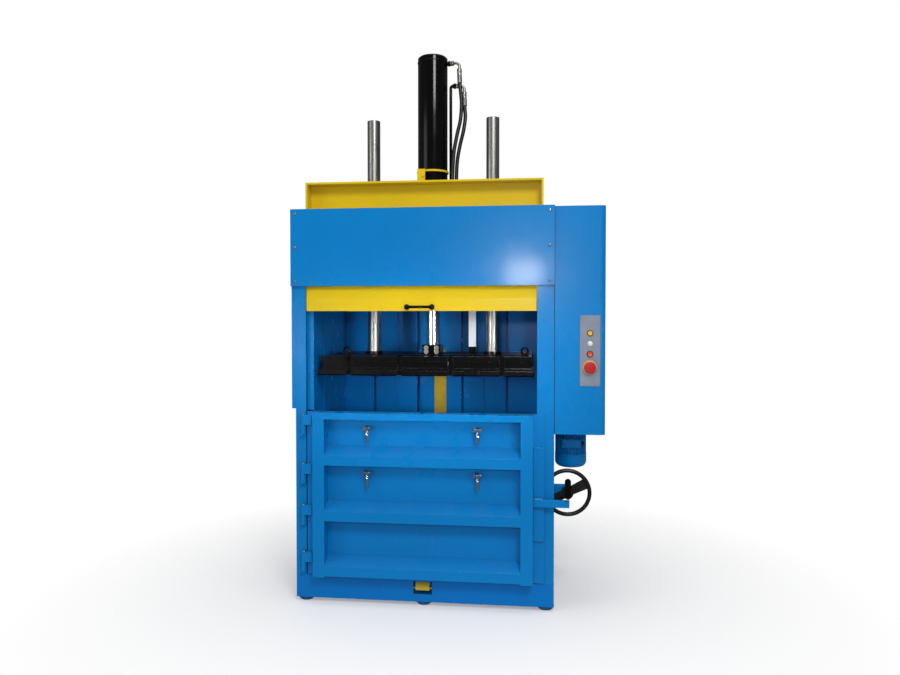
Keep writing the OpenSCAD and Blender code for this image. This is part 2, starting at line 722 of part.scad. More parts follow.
// Press plate with a bevelled front edge, notched where the tying straps pass
coupling_r = rod_r + 27;
platen_flange = 28;
beam_y = coupling_r + platen_flange + 4;
platen_notch_w = 26;
platen_notch_d = 54;
platen_rail_h = 27;
platen_rail_d = 46;
platen_web_t = 12;
module platen_notches() for (x = slot_xs)
    block(x - platen_notch_w / 2, x + platen_notch_w / 2, platen_front - 1, platen_front + platen_notch_d,
          platen_z - 1, coupling_z + 1);
module platen_plate() color(black) difference() {
    along_x(-platen_x, platen_x) polygon([
        [platen_front, platen_z + 6], [platen_front + 6, platen_z], [platen_rear - 6, platen_z],
        [platen_rear, platen_z + 6], [platen_rear, platen_top], [platen_front, platen_top]]);
    platen_notches();
}
// Rails along the front and rear edges, and the two beams either side of the coupling, joined by ribs
module platen_beams() color(black) {
    beam_half = platen_x - platen_web_t;
    rail_front = platen_front + 10;
    rail_rear = platen_rear - 10;
    trip_front = beam_y - platen_flange + 6;
    difference() {
        union() {
            block(-beam_half, beam_half, rail_front, rail_front + platen_rail_d, coupling_z - platen_rail_h, coupling_z);
            block(-beam_half, beam_half, rail_front + platen_rail_d - platen_web_t, rail_front + platen_rail_d,
                  platen_top, coupling_z);
            block(-beam_half, beam_half, rail_front + 14, rail_front + platen_rail_d, platen_top, platen_top + platen_web_t);
        }
        platen_notches();
    }
    block(-beam_half, beam_half, rail_rear - platen_rail_d, rail_rear, coupling_z - platen_web_t, coupling_z);
    block(-beam_half, beam_half, rail_rear - platen_rail_d, rail_rear - platen_rail_d + platen_web_t, platen_top, coupling_z);
    for (y = [-beam_y, beam_y]) {
        block(-beam_half, beam_half, y - platen_web_t / 2, y + platen_web_t / 2, platen_top, coupling_z);
        block(-beam_half, beam_half, y - platen_flange, y + platen_flange, coupling_z - platen_web_t, coupling_z);
    }
    for (x = [-beam_half, beam_half - platen_web_t]) {
        block(x, x + platen_web_t, rail_front + platen_rail_d - 1, -beam_y, platen_top, coupling_z);
        block(x, x + platen_web_t, beam_y, rail_rear - platen_rail_d + 1, platen_top, coupling_z);
    }
    block(trip_x - trip_w / 2, trip_x + trip_w / 2, trip_front, trip_front + trip_foot, coupling_z - 1, coupling_z + trip_stand);
}

coupling_h = 50;
module rod_coupling() color(black) difference() {
    union() {
        post_bar(0, 0, coupling_r, platen_top, coupling_z - 16);
        block(-coupling_r + 12, coupling_r - 12, -coupling_r + 4, coupling_r - 4, coupling_z - 16, coupling_z + coupling_h);
    }
    post_bar(0, 0, rod_r, platen_top + 10, coupling_z + coupling_h + 1);
}
module coupling_bolts() color(steel) for (x = [-28, 28], z = [coupling_z + 14, coupling_z + 34])
    bar_y(x, z, 6.5, -coupling_r - 6, -coupling_r + 4);

module guide_rods() color(steel) both_sides()
    post_bar(guide_x, 0, guide_r, platen_top, guide_top);
module guide_collars() color(black) both_sides() difference() {
    union() {
        post_bar(guide_x, 0, guide_r + 22, platen_top, platen_top + 16);
        post_bar(guide_x, 0, guide_r + 12, platen_top + 16, coupling_z + 14);
    }
    post_bar(guide_x, 0, guide_r, platen_top - 1, coupling_z + 15);
}
// Chromed rod with the piston head that runs in the cylinder
module piston_rod() color(steel) {
    post_bar(0, 0, rod_r, platen_top + 10, piston_z);
    post_bar(0, 0, barrel_r - barrel_wall - slide_gap, piston_z, piston_z + piston_h);
}
// Flat bar that trips the ram's position switch
trip_x = 209;
trip_w = 40;
trip_h = 354;
trip_t = 8;
trip_foot = 30;
trip_stand = 36;
module trip_bar() color(steel) {
    y = beam_y - platen_flange + 6;
    foot = coupling_z + trip_stand;
    block(trip_x - trip_w / 2, trip_x + trip_w / 2, y, y + trip_t, foot, foot + trip_h);
    block(trip_x - trip_w / 2, trip_x + trip_w / 2, y, y + trip_foot, foot, foot + trip_t);
}

// Loading gate: a sheet folded forwards at the foot into a rail
module gate_panel() color(yellow) {
    rail_out = 0.6;
    fold = 62;
    block(-gate_left, gate_right, gate_front, gate_front + gate_t, gate_z, gate_z + gate_h);
    along_x(-lip_left + 4, lip_right - 4) polygon([
        [gate_front, gate_z], [front_y + rail_out, gate_z], [front_y + rail_out, gate_z + fold],
        [gate_front, gate_z + gate_rail_h]]);
}
handle_x = -15;
handle_l = 125;
module gate_handle() color(black) {
    r = 7;
    z = gate_z + 20;
    y = front_y - 34;
    bar_x(y, z, r, handle_x - handle_l / 2, handle_x + handle_l / 2);
    for (x = [handle_x - handle_l / 2, handle_x + handle_l / 2]) {
        translate([x, y, z]) sphere(r = r);
        bar_y(x, z, r, y, front_y + 0.6);
        bar_y(x, z, r + 7, front_y - 8, front_y + 0.6);
    }
}

// Bale door: an inner sheet that closes the opening, with a lip over each post
module door_skin() color(blue) {
    block(-door_x, door_x, skin_front, skin_back, door_z0, door_z1);
}
lip_door_r = frame_x - 48;
lip_door_l = frame_x - 62;
rib_zs = [429, 708];
module door_frame() color(blue) {
    inner = stile_x - stile_w;
    // Stiles: folded boxes at both edges, each with a lip in front of its post
    for (side = [-1, 1]) {
        edge = side > 0 ? lip_door_r : lip_door_l;
        x0 = side > 0 ? inner : -stile_x;
        difference() {
            block(x0, x0 + stile_w, door_front, skin_front, door_z0, door_z1);
            block(x0 + door_t, x0 + stile_w - door_t, door_front + door_t, skin_front + 1, door_z0 - 1, door_z1 - door_t);
        }
        if (side > 0) block(stile_x, edge, flange_front, front_y - 1, door_z0, door_z1);
        else block(-edge, -stile_x, flange_front, front_y - 1, door_z0, door_z1);
    }
    // Ribs and rails: folded sheets with a sloping upper ledge
    for (z = concat([door_z0 + 7], rib_zs)) along_x(-inner, inner) difference() {
        polygon([[skin_front, z], [door_front, z], [door_front, z + rib_h], [skin_front, z + rib_h + rib_slope]]);
        polygon([[skin_front + 1, z + door_t], [door_front + door_t, z + door_t], [door_front + door_t, z + rib_h - 4],
                 [skin_front + 1, z + rib_h + rib_slope - 10]]);
    }
    along_x(-inner, inner) difference() {
        polygon([[skin_front, door_z1 - 34], [door_front, door_z1 - 34], [door_front, door_z1], [skin_front, door_z1]]);
        polygon([[skin_front + 1, door_z1 - 34 + door_t], [door_front + door_t, door_z1 - 34 + door_t],
                 [door_front + door_t, door_z1 - door_t], [skin_front + 1, door_z1 - door_t]]);
    }
}

// Lock plate on the door's right lip, with the arm that the finger holds
lock_plate_l = 460;
module lock_arm() color(blue) {
    plate_x0 = stile_x + 1;
    block(plate_x0, lip_door_r - 1, flange_front - lock_plate_t, flange_front, lock_z - lock_plate_l / 2 - 3, lock_z + lock_plate_l / 2 - 3);
    block(plate_x0, lock_x + 8, arm_front, flange_front - lock_plate_t, arm_z, arm_z + arm_h);
    bar_x((arm_front + flange_front - lock_plate_t) / 2, arm_z + arm_h, arm_t / 2, plate_x0 + 8, plate_x0 + 44);
}

// Hooks for the tying straps
hook_x = 277;
hook_upper_z = 893;
hook_lower_z = 668;
hook_y = skin_front - 30;
hook_pin_r = 5;
hook_l = 70;
module hook_brackets() color(steel) for (x = [-hook_x, hook_x], z = [hook_upper_z, hook_lower_z]) {
    block(x - 20, x - 13, hook_y - 9, skin_front, z - 10, z + 10);
    bar_x(hook_y, z, hook_pin_r, x - 14, x + 12);
    bar_x(hook_y, z, hook_pin_r + 4, x + 12, x + 20);
}
module strap_hook(x, z) color(steel) {
    eye_w = 18;
    difference() {
        union() {
            bar_x(hook_y, z, hook_pin_r + 7, x - eye_w / 2, x + eye_w / 2);
            post_bar(x, hook_y, 7, z - hook_l, z - 4);
            translate([x, hook_y, z - hook_l]) sphere(r = 7);
        }
        bar_x(hook_y, z, hook_pin_r + slide_gap, x - eye_w, x + eye_w);
    }
}
module upper_left_hook() strap_hook(-hook_x, hook_upper_z);
module upper_right_hook() strap_hook(hook_x, hook_upper_z);
module lower_left_hook() strap_hook(-hook_x, hook_lower_z);
module lower_right_hook() strap_hook(hook_x, hook_lower_z);

// Handwheel with two broad spokes, on the spindle that carries the lock finger
spoke_angle = 27;
module handwheel() color(black) translate([lock_x, wheel_y, lock_z]) rotate([90, 0, 0]) {
    hub_r = 30;
    hub_t = 34;
    spoke_t = 8;
    difference() {
        union() {
            rotate_extrude() translate([wheel_r - rim_r, 0]) circle(r = rim_r, $fn = 24);
            translate([0, 0, -hub_t / 2]) cylinder(r = hub_r, h = hub_t);
            rotate([0, 0, spoke_angle]) linear_extrude(spoke_t, center = true) polygon([
                [-wheel_r + rim_r, -26], [0, -20], [wheel_r - rim_r, -26],
                [wheel_r - rim_r, 26], [0, 20], [-wheel_r + rim_r, 26]]);
        }
        translate([0, 0, -hub_t]) cylinder(r = spindle_r, h = 2 * hub_t);
    }
}
module lock_spindle() color(black) {
    finger_front = finger_back - finger_t;
    bar_y(lock_x, lock_z, spindle_r, finger_back - 1, spindle_end);
    bar_y(lock_x, lock_z, spindle_r + 6, bearing_y1 + slide_gap, bearing_y1 + 12);
    bar_y(lock_x, lock_z, 15, finger_front, finger_back);
    block(lock_x - 15, lock_x + 15, finger_front, finger_back, lock_z, lock_z + finger_l - 15);
    bar_y(lock_x, lock_z + finger_l - 15, 15, finger_front, finger_back);
}

place() base_frame();
place() front_sill();
place() floor_plate();
place() feet();
place() left_front_post();
place() right_front_post();
place() rear_posts();
place() left_side_wall();
place() right_side_wall();
place() back_wall();
place() front_header();
place() gate_guides();
place() crossbeams();
place() cylinder_carrier();
place() cylinder_barrel();
place() cylinder_gland();
place() cylinder_band();
place() guide_bushes();
place() hydraulic_pipework();
place() upper_hose();
place() lower_hose();
place() fascia();
place() fascia_screws();
place() left_side_cover();
place() cabinet_shell();
place() cabinet_cover();
place() control_plate();
place() indicator_lamp();
place() oil_tank();
place() pump_unit();
place() motor_housing();
place() motor_cowl();
place() lock_bracket();
place() frame_hinges();
place() ejector_strap();
place() strap_pins();
place() platen_plate();
place() platen_beams();
place() rod_coupling();
place() coupling_bolts();
place() guide_rods();
place() guide_collars();
place() piston_rod();
place() trip_bar();
place() gate_panel();
place() gate_handle();
place() door_skin();
place() door_frame();
place() lock_arm();
place() hook_brackets();
place() door_hinges();
place() upper_left_hook();
place() upper_right_hook();
place() lower_left_hook();
place() lower_right_hook();
place() handwheel();
place() lock_spindle();
place() start_button();
place() stop_button();
place() emergency_stop();
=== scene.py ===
"""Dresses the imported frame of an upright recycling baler: finishes, hoses, strap, hardware and stage."""

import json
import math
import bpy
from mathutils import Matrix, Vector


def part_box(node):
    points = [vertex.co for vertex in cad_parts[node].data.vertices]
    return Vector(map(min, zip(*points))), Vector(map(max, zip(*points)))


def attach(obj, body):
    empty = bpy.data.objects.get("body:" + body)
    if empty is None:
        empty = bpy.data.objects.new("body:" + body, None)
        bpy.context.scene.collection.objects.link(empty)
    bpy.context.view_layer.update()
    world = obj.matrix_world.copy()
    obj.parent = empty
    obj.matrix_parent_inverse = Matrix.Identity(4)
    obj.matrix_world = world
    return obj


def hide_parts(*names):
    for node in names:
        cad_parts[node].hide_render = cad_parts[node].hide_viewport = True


bl_info = {
    "name": "Recycling Baler Dresser",
    "version": (1, 0, 0),
    "blender": (4, 5, 0),
    "location": "3D View > Sidebar > Baler",
    "description": "Finishes, hoses, strap and small hardware for an upright recycling baler",
    "category": "Object",
}

import bmesh
import bpy
import numpy as np
from bpy.props import FloatProperty, FloatVectorProperty, PointerProperty

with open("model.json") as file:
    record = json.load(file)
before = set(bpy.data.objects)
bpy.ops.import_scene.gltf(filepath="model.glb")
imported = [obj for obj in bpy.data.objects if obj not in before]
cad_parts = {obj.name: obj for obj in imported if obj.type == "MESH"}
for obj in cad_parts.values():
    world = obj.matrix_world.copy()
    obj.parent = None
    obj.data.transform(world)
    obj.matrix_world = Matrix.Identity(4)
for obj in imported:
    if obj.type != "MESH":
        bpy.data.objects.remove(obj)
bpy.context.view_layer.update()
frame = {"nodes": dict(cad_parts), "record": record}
MM = 0.001
X_AXIS, Y_AXIS, Z_AXIS = np.eye(3)


def linear(red, green, blue):
    """A colour written as 0 to 255 screen values, as linear light with full alpha."""
    values = np.array([red, green, blue]) / 255.0
    light = np.where(values <= 0.04045, values / 12.92, ((values + 0.055) / 1.055) ** 2.4)
    return (*[float(v) for v in light], 1.0)


def node_box(name):
    """Lowest and highest corner of a frame node, as arrays in metres."""
    low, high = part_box(name)
    return np.array(low), np.array(high)


# Settings

def colour_property(name, description, rgb):
    """A colour setting whose default is given in screen values."""
    return FloatVectorProperty(name=name, description=description, subtype="COLOR", size=4, min=0, max=1,
                               default=linear(*rgb))


class BalerPaints(bpy.types.PropertyGroup):
    """Colours of the machine's finishes."""
    blue: colour_property("Blue paint", "Gloss enamel of the frame, door and covers", (0, 120, 190))
    # The chamber and the sill wear the frame's blue enamel; this darker copy of that blue is painted shade.
    shaded_blue: colour_property("Blue paint with painted shade", "Enamel of the chamber and the sill", (0, 112, 190))
    yellow: colour_property("Yellow paint", "Enamel of the gate and the crossbeams", (212, 182, 22))
    black: colour_property("Black paint", "Gloss enamel of the cylinder and the press plate", (5, 5, 6))
    steel: colour_property("Bare steel", "Turned guide rods, hooks and screws", (160, 159, 155))
    webbing: colour_property("Strap webbing", "Woven ejector strap", (214, 184, 38))


class BalerSizes(bpy.types.PropertyGroup):
    """Sizes of the pieces that are added to the frame."""
    hose_diameter: FloatProperty(name="Hose diameter", description="Outside of the hydraulic hoses",
                                 default=20 * MM, min=16 * MM, max=22 * MM, unit="LENGTH")
    bead: FloatProperty(name="Weld bead", description="Radius of the weld beads",
                        default=3.2 * MM, min=1 * MM, max=6 * MM, unit="LENGTH")
    edge: FloatProperty(name="Edge radius", description="Softness of the folded and cut edges",
                        default=2.5 * MM, min=0.5 * MM, max=6 * MM, unit="LENGTH")


class BalerStage(bpy.types.PropertyGroup):
    """Camera and light."""
    eye: FloatVectorProperty(name="Eye", description="Camera place", size=3, subtype="XYZ", unit="LENGTH",
                             default=(0.4714, -4.0695, 1.4371))
    yaw: FloatProperty(name="Yaw", description="Turn of the camera to the left", subtype="ANGLE",
                       default=math.radians(6.82))
    pitch: FloatProperty(name="Pitch", description="Tilt of the camera, down is negative", subtype="ANGLE",
                         default=math.radians(-1.374))
    lens: FloatProperty(name="Lens", description="Focal length on a 36 mm wide sensor", unit="CAMERA",
                        default=30.41)


def settings(group):
    """One of the scene's groups of settings."""
    return getattr(bpy.context.scene, group)


# Surfaces as grids

def grid_faces(rows, columns):
    """Quads between neighbouring rings of a grid with that many rows, each ring closed on itself."""
    row = np.arange(rows - 1)[:, None]
    column = np.arange(columns)[None, :]
    following = (column + 1) % columns
    corners = [row * columns + column, row * columns + following,
               (row + 1) * columns + following, (row + 1) * columns + column]
    return np.stack(np.broadcast_arrays(*corners), axis=-1).reshape(-1, 4)


def basis(axis):
    """Two unit vectors square to an axis and to each other."""
    axis = np.asarray(axis, float)
    helper = X_AXIS if abs(axis[0]) < 0.9 else Y_AXIS
    across = np.cross(axis, helper)
    across = across / np.linalg.norm(across)
    return across, np.cross(axis, across)


def turned(profile, centre, axis, sides=32):
    """Rings about an axis: each profile pair is a radius and a height from the centre, in millimetres."""
    profile = np.asarray(profile, float) * MM
    across, up = basis(axis)
    turn = np.linspace(0, 2 * np.pi, sides, endpoint=False)
    ring = np.cos(turn)[:, None] * across + np.sin(turn)[:, None] * up
    points = (np.asarray(centre) + profile[:, 0, None, None] * ring[None]
              + profile[:, 1, None, None] * np.asarray(axis, float))
    return points.reshape(-1, 3), grid_faces(len(profile), sides)


def prism(outline, levels, centre, axis, across):
    """An outline carried along an axis: each level pair is a height and the outline's scale there."""
    outline = np.asarray(outline, float)
    levels = np.asarray(levels, float)
    axis = np.asarray(axis, float)
    across = np.asarray(across, float)
    up = np.cross(axis, across)
    flat = outline[:, 0, None] * across + outline[:, 1, None] * up
    points = (np.asarray(centre) + levels[:, 1, None, None] * flat[None]
              + levels[:, 0, None, None] * axis)
    return points.reshape(-1, 3), grid_faces(len(levels), len(outline))


def sweep(path, radius, sides=16, guide=Y_AXIS):
    """A round section carried along a path. The section's radius may change from point to point."""
    path = np.asarray(path, float)
    along = np.gradient(path, axis=0)
    along = along / np.linalg.norm(along, axis=1)[:, None]
    across = np.cross(along, np.asarray(guide, float))
    across = across / np.linalg.norm(across, axis=1)[:, None]
    up = np.cross(along, across)
    turn = np.linspace(0, 2 * np.pi, sides, endpoint=False)
    radius = np.broadcast_to(np.asarray(radius, float), (len(path),))
    ring = np.cos(turn)[None, :, None] * across[:, None] + np.sin(turn)[None, :, None] * up[:, None]
    points = path[:, None] + radius[:, None, None] * ring
    return points.reshape(-1, 3), grid_faces(len(path), sides)


def smooth_route(points, steps):
    """A curve through every point: on each span, the cubic whose slopes follow the neighbouring points."""
    points = np.asarray(points, float)
    before = np.vstack([points[:1], points[:-2]])
    after = np.vstack([points[2:], points[-1:]])
    start, end = points[:-1], points[1:]
    t = np.linspace(0, 1, steps, endpoint=False)[:, None, None]
    spans = 0.5 * (2 * start + (end - before) * t + (2 * before - 5 * start + 4 * end - after) * t ** 2
                   + (3 * start - before - 3 * end + after) * t ** 3)
    return np.vstack([spans.transpose(1, 0, 2).reshape(-1, 3), points[-1:]])


def rounded_outline(width, height, radius, steps=5):
    """A rectangle about its middle with an arc at each corner."""
    turn = np.linspace(0, np.pi / 2, steps)
    arc = radius * np.stack([np.cos(turn), np.sin(turn)], axis=1)
    half = np.array([width / 2 - radius, height / 2 - radius])
    corners = []
    for quarter, sign in enumerate(((1, 1), (-1, 1), (-1, -1), (1, -1))):
        spin = np.array([[math.cos(quarter * np.pi / 2), math.sin(quarter * np.pi / 2)],
                         [-math.sin(quarter * np.pi / 2), math.cos(quarter * np.pi / 2)]])
        corners.append(arc @ spin + half * sign)
    return np.vstack(corners)


def hexagon(size):
    """The six corners of a hexagon with that size across its flats."""
    turn = np.radians(np.arange(0, 360, 60))
    return size / math.sqrt(3) * np.stack([np.cos(turn), np.sin(turn)], axis=1)


def piece(name, shapes, body, material, smooth=35, caps=True):
    """One object from several point and face grids, closed at its open rings, riding on a body."""
    mesh = bpy.data.meshes.new(name)
    points = np.vstack([shape[0] for shape in shapes])
    starts = np.cumsum([0] + [len(shape[0]) for shape in shapes[:-1]])
    faces = np.vstack([shape[1] + start for shape, start in zip(shapes, starts)])
    mesh.from_pydata(points.tolist(), [], faces.tolist())
    shell = bmesh.new()
    shell.from_mesh(mesh)
    bmesh.ops.remove_doubles(shell, verts=shell.verts, dist=1e-6)
    if caps:
        bmesh.ops.holes_fill(shell, edges=shell.edges, sides=0)
    bmesh.ops.recalc_face_normals(shell, faces=shell.faces)
    shell.to_mesh(mesh)
    shell.free()
    obj = bpy.data.objects.new(name, mesh)
    bpy.context.scene.collection.objects.link(obj)
    mesh.materials.append(material)
    mesh.shade_smooth()
    mesh.set_sharp_from_angle(angle=math.radians(smooth))
    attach(obj, body)
    return obj


# Finishes

def add(tree, kind, inputs=None, **options):
    """A shader node with its options, and its inputs set or linked by name or number."""
    made = tree.nodes.new(kind)
    for key, value in options.items():
        setattr(made, key, value)
    for key, value in (inputs or {}).items():
        if isinstance(value, bpy.types.NodeSocket):
            tree.links.new(value, made.inputs[key])
        else:
            made.inputs[key].default_value = value
    return made


def blank(name):
    """An empty node material and its shader."""
    material = bpy.data.materials.new(name)
    material.use_nodes = True
    tree = material.node_tree
    tree.nodes.clear()
    shader = add(tree, "ShaderNodeBsdfPrincipled")
    add(tree, "ShaderNodeOutputMaterial", {"Surface": shader.outputs["BSDF"]})
    return material, tree, shader


def noise(tree, place, scale, detail=3.0, stretch=(1, 1, 1), roughness=0.55):
    """Cloudy noise on the piece's own coordinates, drawn out along some axes."""
    mapped = add(tree, "ShaderNodeMapping", {"Vector": place, "Scale": stretch})
    made = add(tree, "ShaderNodeTexNoise", {"Vector": mapped.outputs[0], "Scale": scale, "Detail": detail,
                                            "Roughness": roughness})
    return made.outputs["Fac"]


def remap(tree, value, low, high, to_low, to_high):
    """A value carried from one range to another, held at the ends."""
    return add(tree, "ShaderNodeMapRange", {"Value": value, "From Min": low, "From Max": high,
                                            "To Min": to_low, "To Max": to_high}).outputs[0]


def mixed(tree, factor, first, second):
    """Two colours mixed by a factor."""
    made = add(tree, "ShaderNodeMix", {0: factor, 6: first, 7: second}, data_type="RGBA")
    return made.outputs[2]


def product(tree, first, second):
    """Two values multiplied."""
    return add(tree, "ShaderNodeMath", {0: first, 1: second}, operation="MULTIPLY").outputs[0]


def shade(colour, factor):
    """A colour made darker or lighter by a factor."""
    return (*[min(1.0, c * factor) for c in colour[:3]], 1.0)


def enamel(name, colour, roughness=0.28, dust=0.04, scuff=0.25, coat=0.3, chips=0.35):
    """Sprayed gloss enamel: cloudy tone, orange peel, fine scuffs, chipped edges and dust on ledges."""
    material, tree, shader = blank(name)
    place = add(tree, "ShaderNodeTexCoord").outputs["Object"]
    broad = noise(tree, place, 1.6, 4)
    middle = noise(tree, place, 11, 4)
    tone = mixed(tree, remap(tree, broad, 0.3, 0.7, 0, 1), shade(colour, 0.95), shade(colour, 1.05))
    tone = mixed(tree, remap(tree, middle, 0.35, 0.75, 0, 0.12), tone, shade(colour, 0.80))
    marks = noise(tree, place, 26, 5, (1.0, 1.0, 0.18), 0.7)
    worn = remap(tree, marks, 0.66, 0.78, 0, scuff)
    pale = tuple(0.80 * c + 0.06 for c in colour[:3]) + (1.0,)
    tone = mixed(tree, worn, tone, pale)
    flat = add(tree, "ShaderNodeNewGeometry").outputs["Normal"]
    soft = add(tree, "ShaderNodeBevel", {"Radius": settings("baler_sizes").edge}, samples=6)
    turn = add(tree, "ShaderNodeVectorMath", {0: soft.outputs[0], 1: flat}, operation="DOT_PRODUCT")
    on_edge = remap(tree, turn.outputs["Value"], 0.99, 0.90, 0, 1)
    spots = noise(tree, place, 45, 5, (1, 1, 1), 0.65)
    chipped = product(tree, on_edge, remap(tree, spots, 0.50, 0.60, 0, chips))
    facing = add(tree, "ShaderNodeSeparateXYZ", {0: flat}).outputs[2]
    upward = remap(tree, facing, 0.35, 1.0, 0, dust)
    settled = product(tree, upward, remap(tree, middle, 0.25, 0.7, 0.3, 1.0))
    tone = mixed(tree, settled, tone, linear(170, 160, 140))
    tone = mixed(tree, chipped, tone, linear(128, 130, 132))
    gloss = remap(tree, middle, 0.3, 0.75, roughness - 0.03, roughness + 0.05)
    rough = add(tree, "ShaderNodeMath", {0: gloss, 1: product(tree, worn, 0.5)}, operation="ADD").outputs[0]
    peel = noise(tree, place, 240, 2)
    dents = noise(tree, place, 5, 2)
    wavy = add(tree, "ShaderNodeBump", {"Height": dents, "Strength": 0.10, "Distance": 0.004,
                                        "Normal": soft.outputs[0]})
    grain = add(tree, "ShaderNodeBump", {"Height": peel, "Strength": 0.08, "Distance": 0.0006,
                                         "Normal": wavy.outputs[0]})
    tree.links.new(tone, shader.inputs["Base Color"])
    tree.links.new(rough, shader.inputs["Roughness"])
    tree.links.new(chipped, shader.inputs["Metallic"])
    tree.links.new(grain.outputs[0], shader.inputs["Normal"])
    shader.inputs["Specular IOR Level"].default_value = 0.16
    shader.inputs["Coat Weight"].default_value = 0.5 * coat
    shader.inputs["Coat Roughness"].default_value = 0.12
    return material


def bare_metal(name, colour, roughness, stretch, streak=0.10, stain=0.3):
    """Turned or drawn steel: fine streaks along the cut, oily stains, softened edges."""
    material, tree, shader = blank(name)
    place = add(tree, "ShaderNodeTexCoord").outputs["Object"]
    streaks = noise(tree, place, 160, 3, stretch, 0.7)
    clouds = noise(tree, place, 8, 4)
    tone = mixed(tree, remap(tree, clouds, 0.4, 0.75, 0, stain), colour, shade(colour, 0.45))
    gloss = remap(tree, clouds, 0.3, 0.7, roughness - 0.05, roughness + 0.10)
    drawn = remap(tree, streaks, 0.3, 0.7, -streak, streak)
    rough = add(tree, "ShaderNodeMath", {0: gloss, 1: drawn}, operation="ADD").outputs[0]
    soft = add(tree, "ShaderNodeBevel", {"Radius": 0.0015}, samples=6)
    ridges = add(tree, "ShaderNodeBump", {"Height": streaks, "Strength": 0.10, "Distance": 0.0003,
                                          "Normal": soft.outputs[0]})
    tree.links.new(tone, shader.inputs["Base Color"])
    tree.links.new(rough, shader.inputs["Roughness"])
    tree.links.new(ridges.outputs[0], shader.inputs["Normal"])
    shader.inputs["Metallic"].default_value = 1.0
    return material


def moulded(name, colour, roughness, grain=0.1, scale=300):
    """Moulded plastic or rubber: fine grain, faint cloudy tone, softened edges."""
    material, tree, shader = blank(name)
    place = add(tree, "ShaderNodeTexCoord").outputs["Object"]
    clouds = noise(tree, place, 14, 3)
    tone = mixed(tree, remap(tree, clouds, 0.3, 0.7, 0, 1), shade(colour, 0.86), shade(colour, 1.12))
    soft = add(tree, "ShaderNodeBevel", {"Radius": 0.0015}, samples=6)
    fine = add(tree, "ShaderNodeBump", {"Height": noise(tree, place, scale, 2), "Strength": grain,
                                        "Distance": 0.0005, "Normal": soft.outputs[0]})
    tree.links.new(tone, shader.inputs["Base Color"])
    gloss = remap(tree, clouds, 0.3, 0.7, roughness - 0.05, roughness + 0.08)
    tree.links.new(gloss, shader.inputs["Roughness"])
    tree.links.new(fine.outputs[0], shader.inputs["Normal"])
    return material


def woven(name, colour):
    """Webbing: ribs along the strap crossed by close weft threads, painted shade between the threads, with
    rubbed and soiled patches.
    """
    material, tree, shader = blank(name)
    place = add(tree, "ShaderNodeTexCoord").outputs["Object"]
    ribs = add(tree, "ShaderNodeTexWave", {"Vector": place, "Scale": 130, "Distortion": 0.4},
               wave_type="BANDS", bands_direction="X")
    weft = add(tree, "ShaderNodeTexWave", {"Vector": place, "Scale": 210, "Distortion": 0.6},
               wave_type="BANDS", bands_direction="Z")
    weave = product(tree, ribs.outputs["Fac"], remap(tree, weft.outputs["Fac"], 0, 1, 0.5, 1.0))
    soil = noise(tree, place, 9, 4)
    # Painted shade: the weave's low threads are darkened towards half the webbing's colour.
    tone = mixed(tree, remap(tree, weave, 0.1, 0.9, 0.45, 0), colour, shade(colour, 0.5))
    tone = mixed(tree, remap(tree, soil, 0.45, 0.8, 0, 0.45), tone, linear(96, 84, 40))
    raised = add(tree, "ShaderNodeBump", {"Height": weave, "Strength": 0.55, "Distance": 0.0008})
    tree.links.new(tone, shader.inputs["Base Color"])
    tree.links.new(raised.outputs[0], shader.inputs["Normal"])
    shader.inputs["Roughness"].default_value = 0.75
    shader.inputs["Sheen Weight"].default_value = 0.25
    return material


FINISHES = {}


def make_finishes():
    """Every finish of the machine, by the record's material slot."""
    paints = settings("baler_paints")
    steel = tuple(paints.steel)
    FINISHES.update({
        "blue_paint": enamel("blue enamel", tuple(paints.blue)),
        # Chamber and sill: the frame's blue made darker as painted shade, with real dust and scuffs on top.
        "deep_blue_paint": enamel("blue enamel with painted shade", tuple(paints.shaded_blue), 0.24, 0.14, 0.3),
        "yellow_paint": enamel("yellow enamel", tuple(paints.yellow), 0.30, 0.12, 0.3),
        "black_paint": enamel("black enamel", tuple(paints.black), 0.13, 0.02, 0.05, 0.25),
        "black_plastic": moulded("wheel plastic", linear(15, 15, 16), 0.34),
        # The feet carry the frame's blue; this much darker blue is painted shade under the machine.
        "foot_rubber": moulded("foot blue with painted shade", linear(8, 84, 142), 0.55),
        "hose_rubber": moulded("hose rubber", linear(7, 7, 8), 0.42, 0.2, 500),
        "bare_steel": bare_metal("drawn steel", steel, 0.34, (1, 1, 0.05)),
        "rod_chrome": bare_metal("hard chrome", linear(205, 208, 212), 0.12, (1, 1, 4), 0.03, 0.1),
        "grey_plate": moulded("plate lacquer", linear(122, 130, 144), 0.4, 0.05),
        "power_pack": enamel("tank enamel", linear(78, 88, 98), 0.4),
        "strap_webbing": woven("yellow webbing", tuple(paints.webbing)),
        "lamp_lens": moulded("lamp lens", linear(226, 226, 214), 0.15, 0.02),
        "start_yellow": moulded("start button", linear(232, 178, 40), 0.2, 0.02),
        "stop_orange": moulded("stop button", linear(214, 78, 44), 0.2, 0.02),
        "emergency_red": moulded("emergency cap", linear(172, 26, 40), 0.22, 0.02),
    })


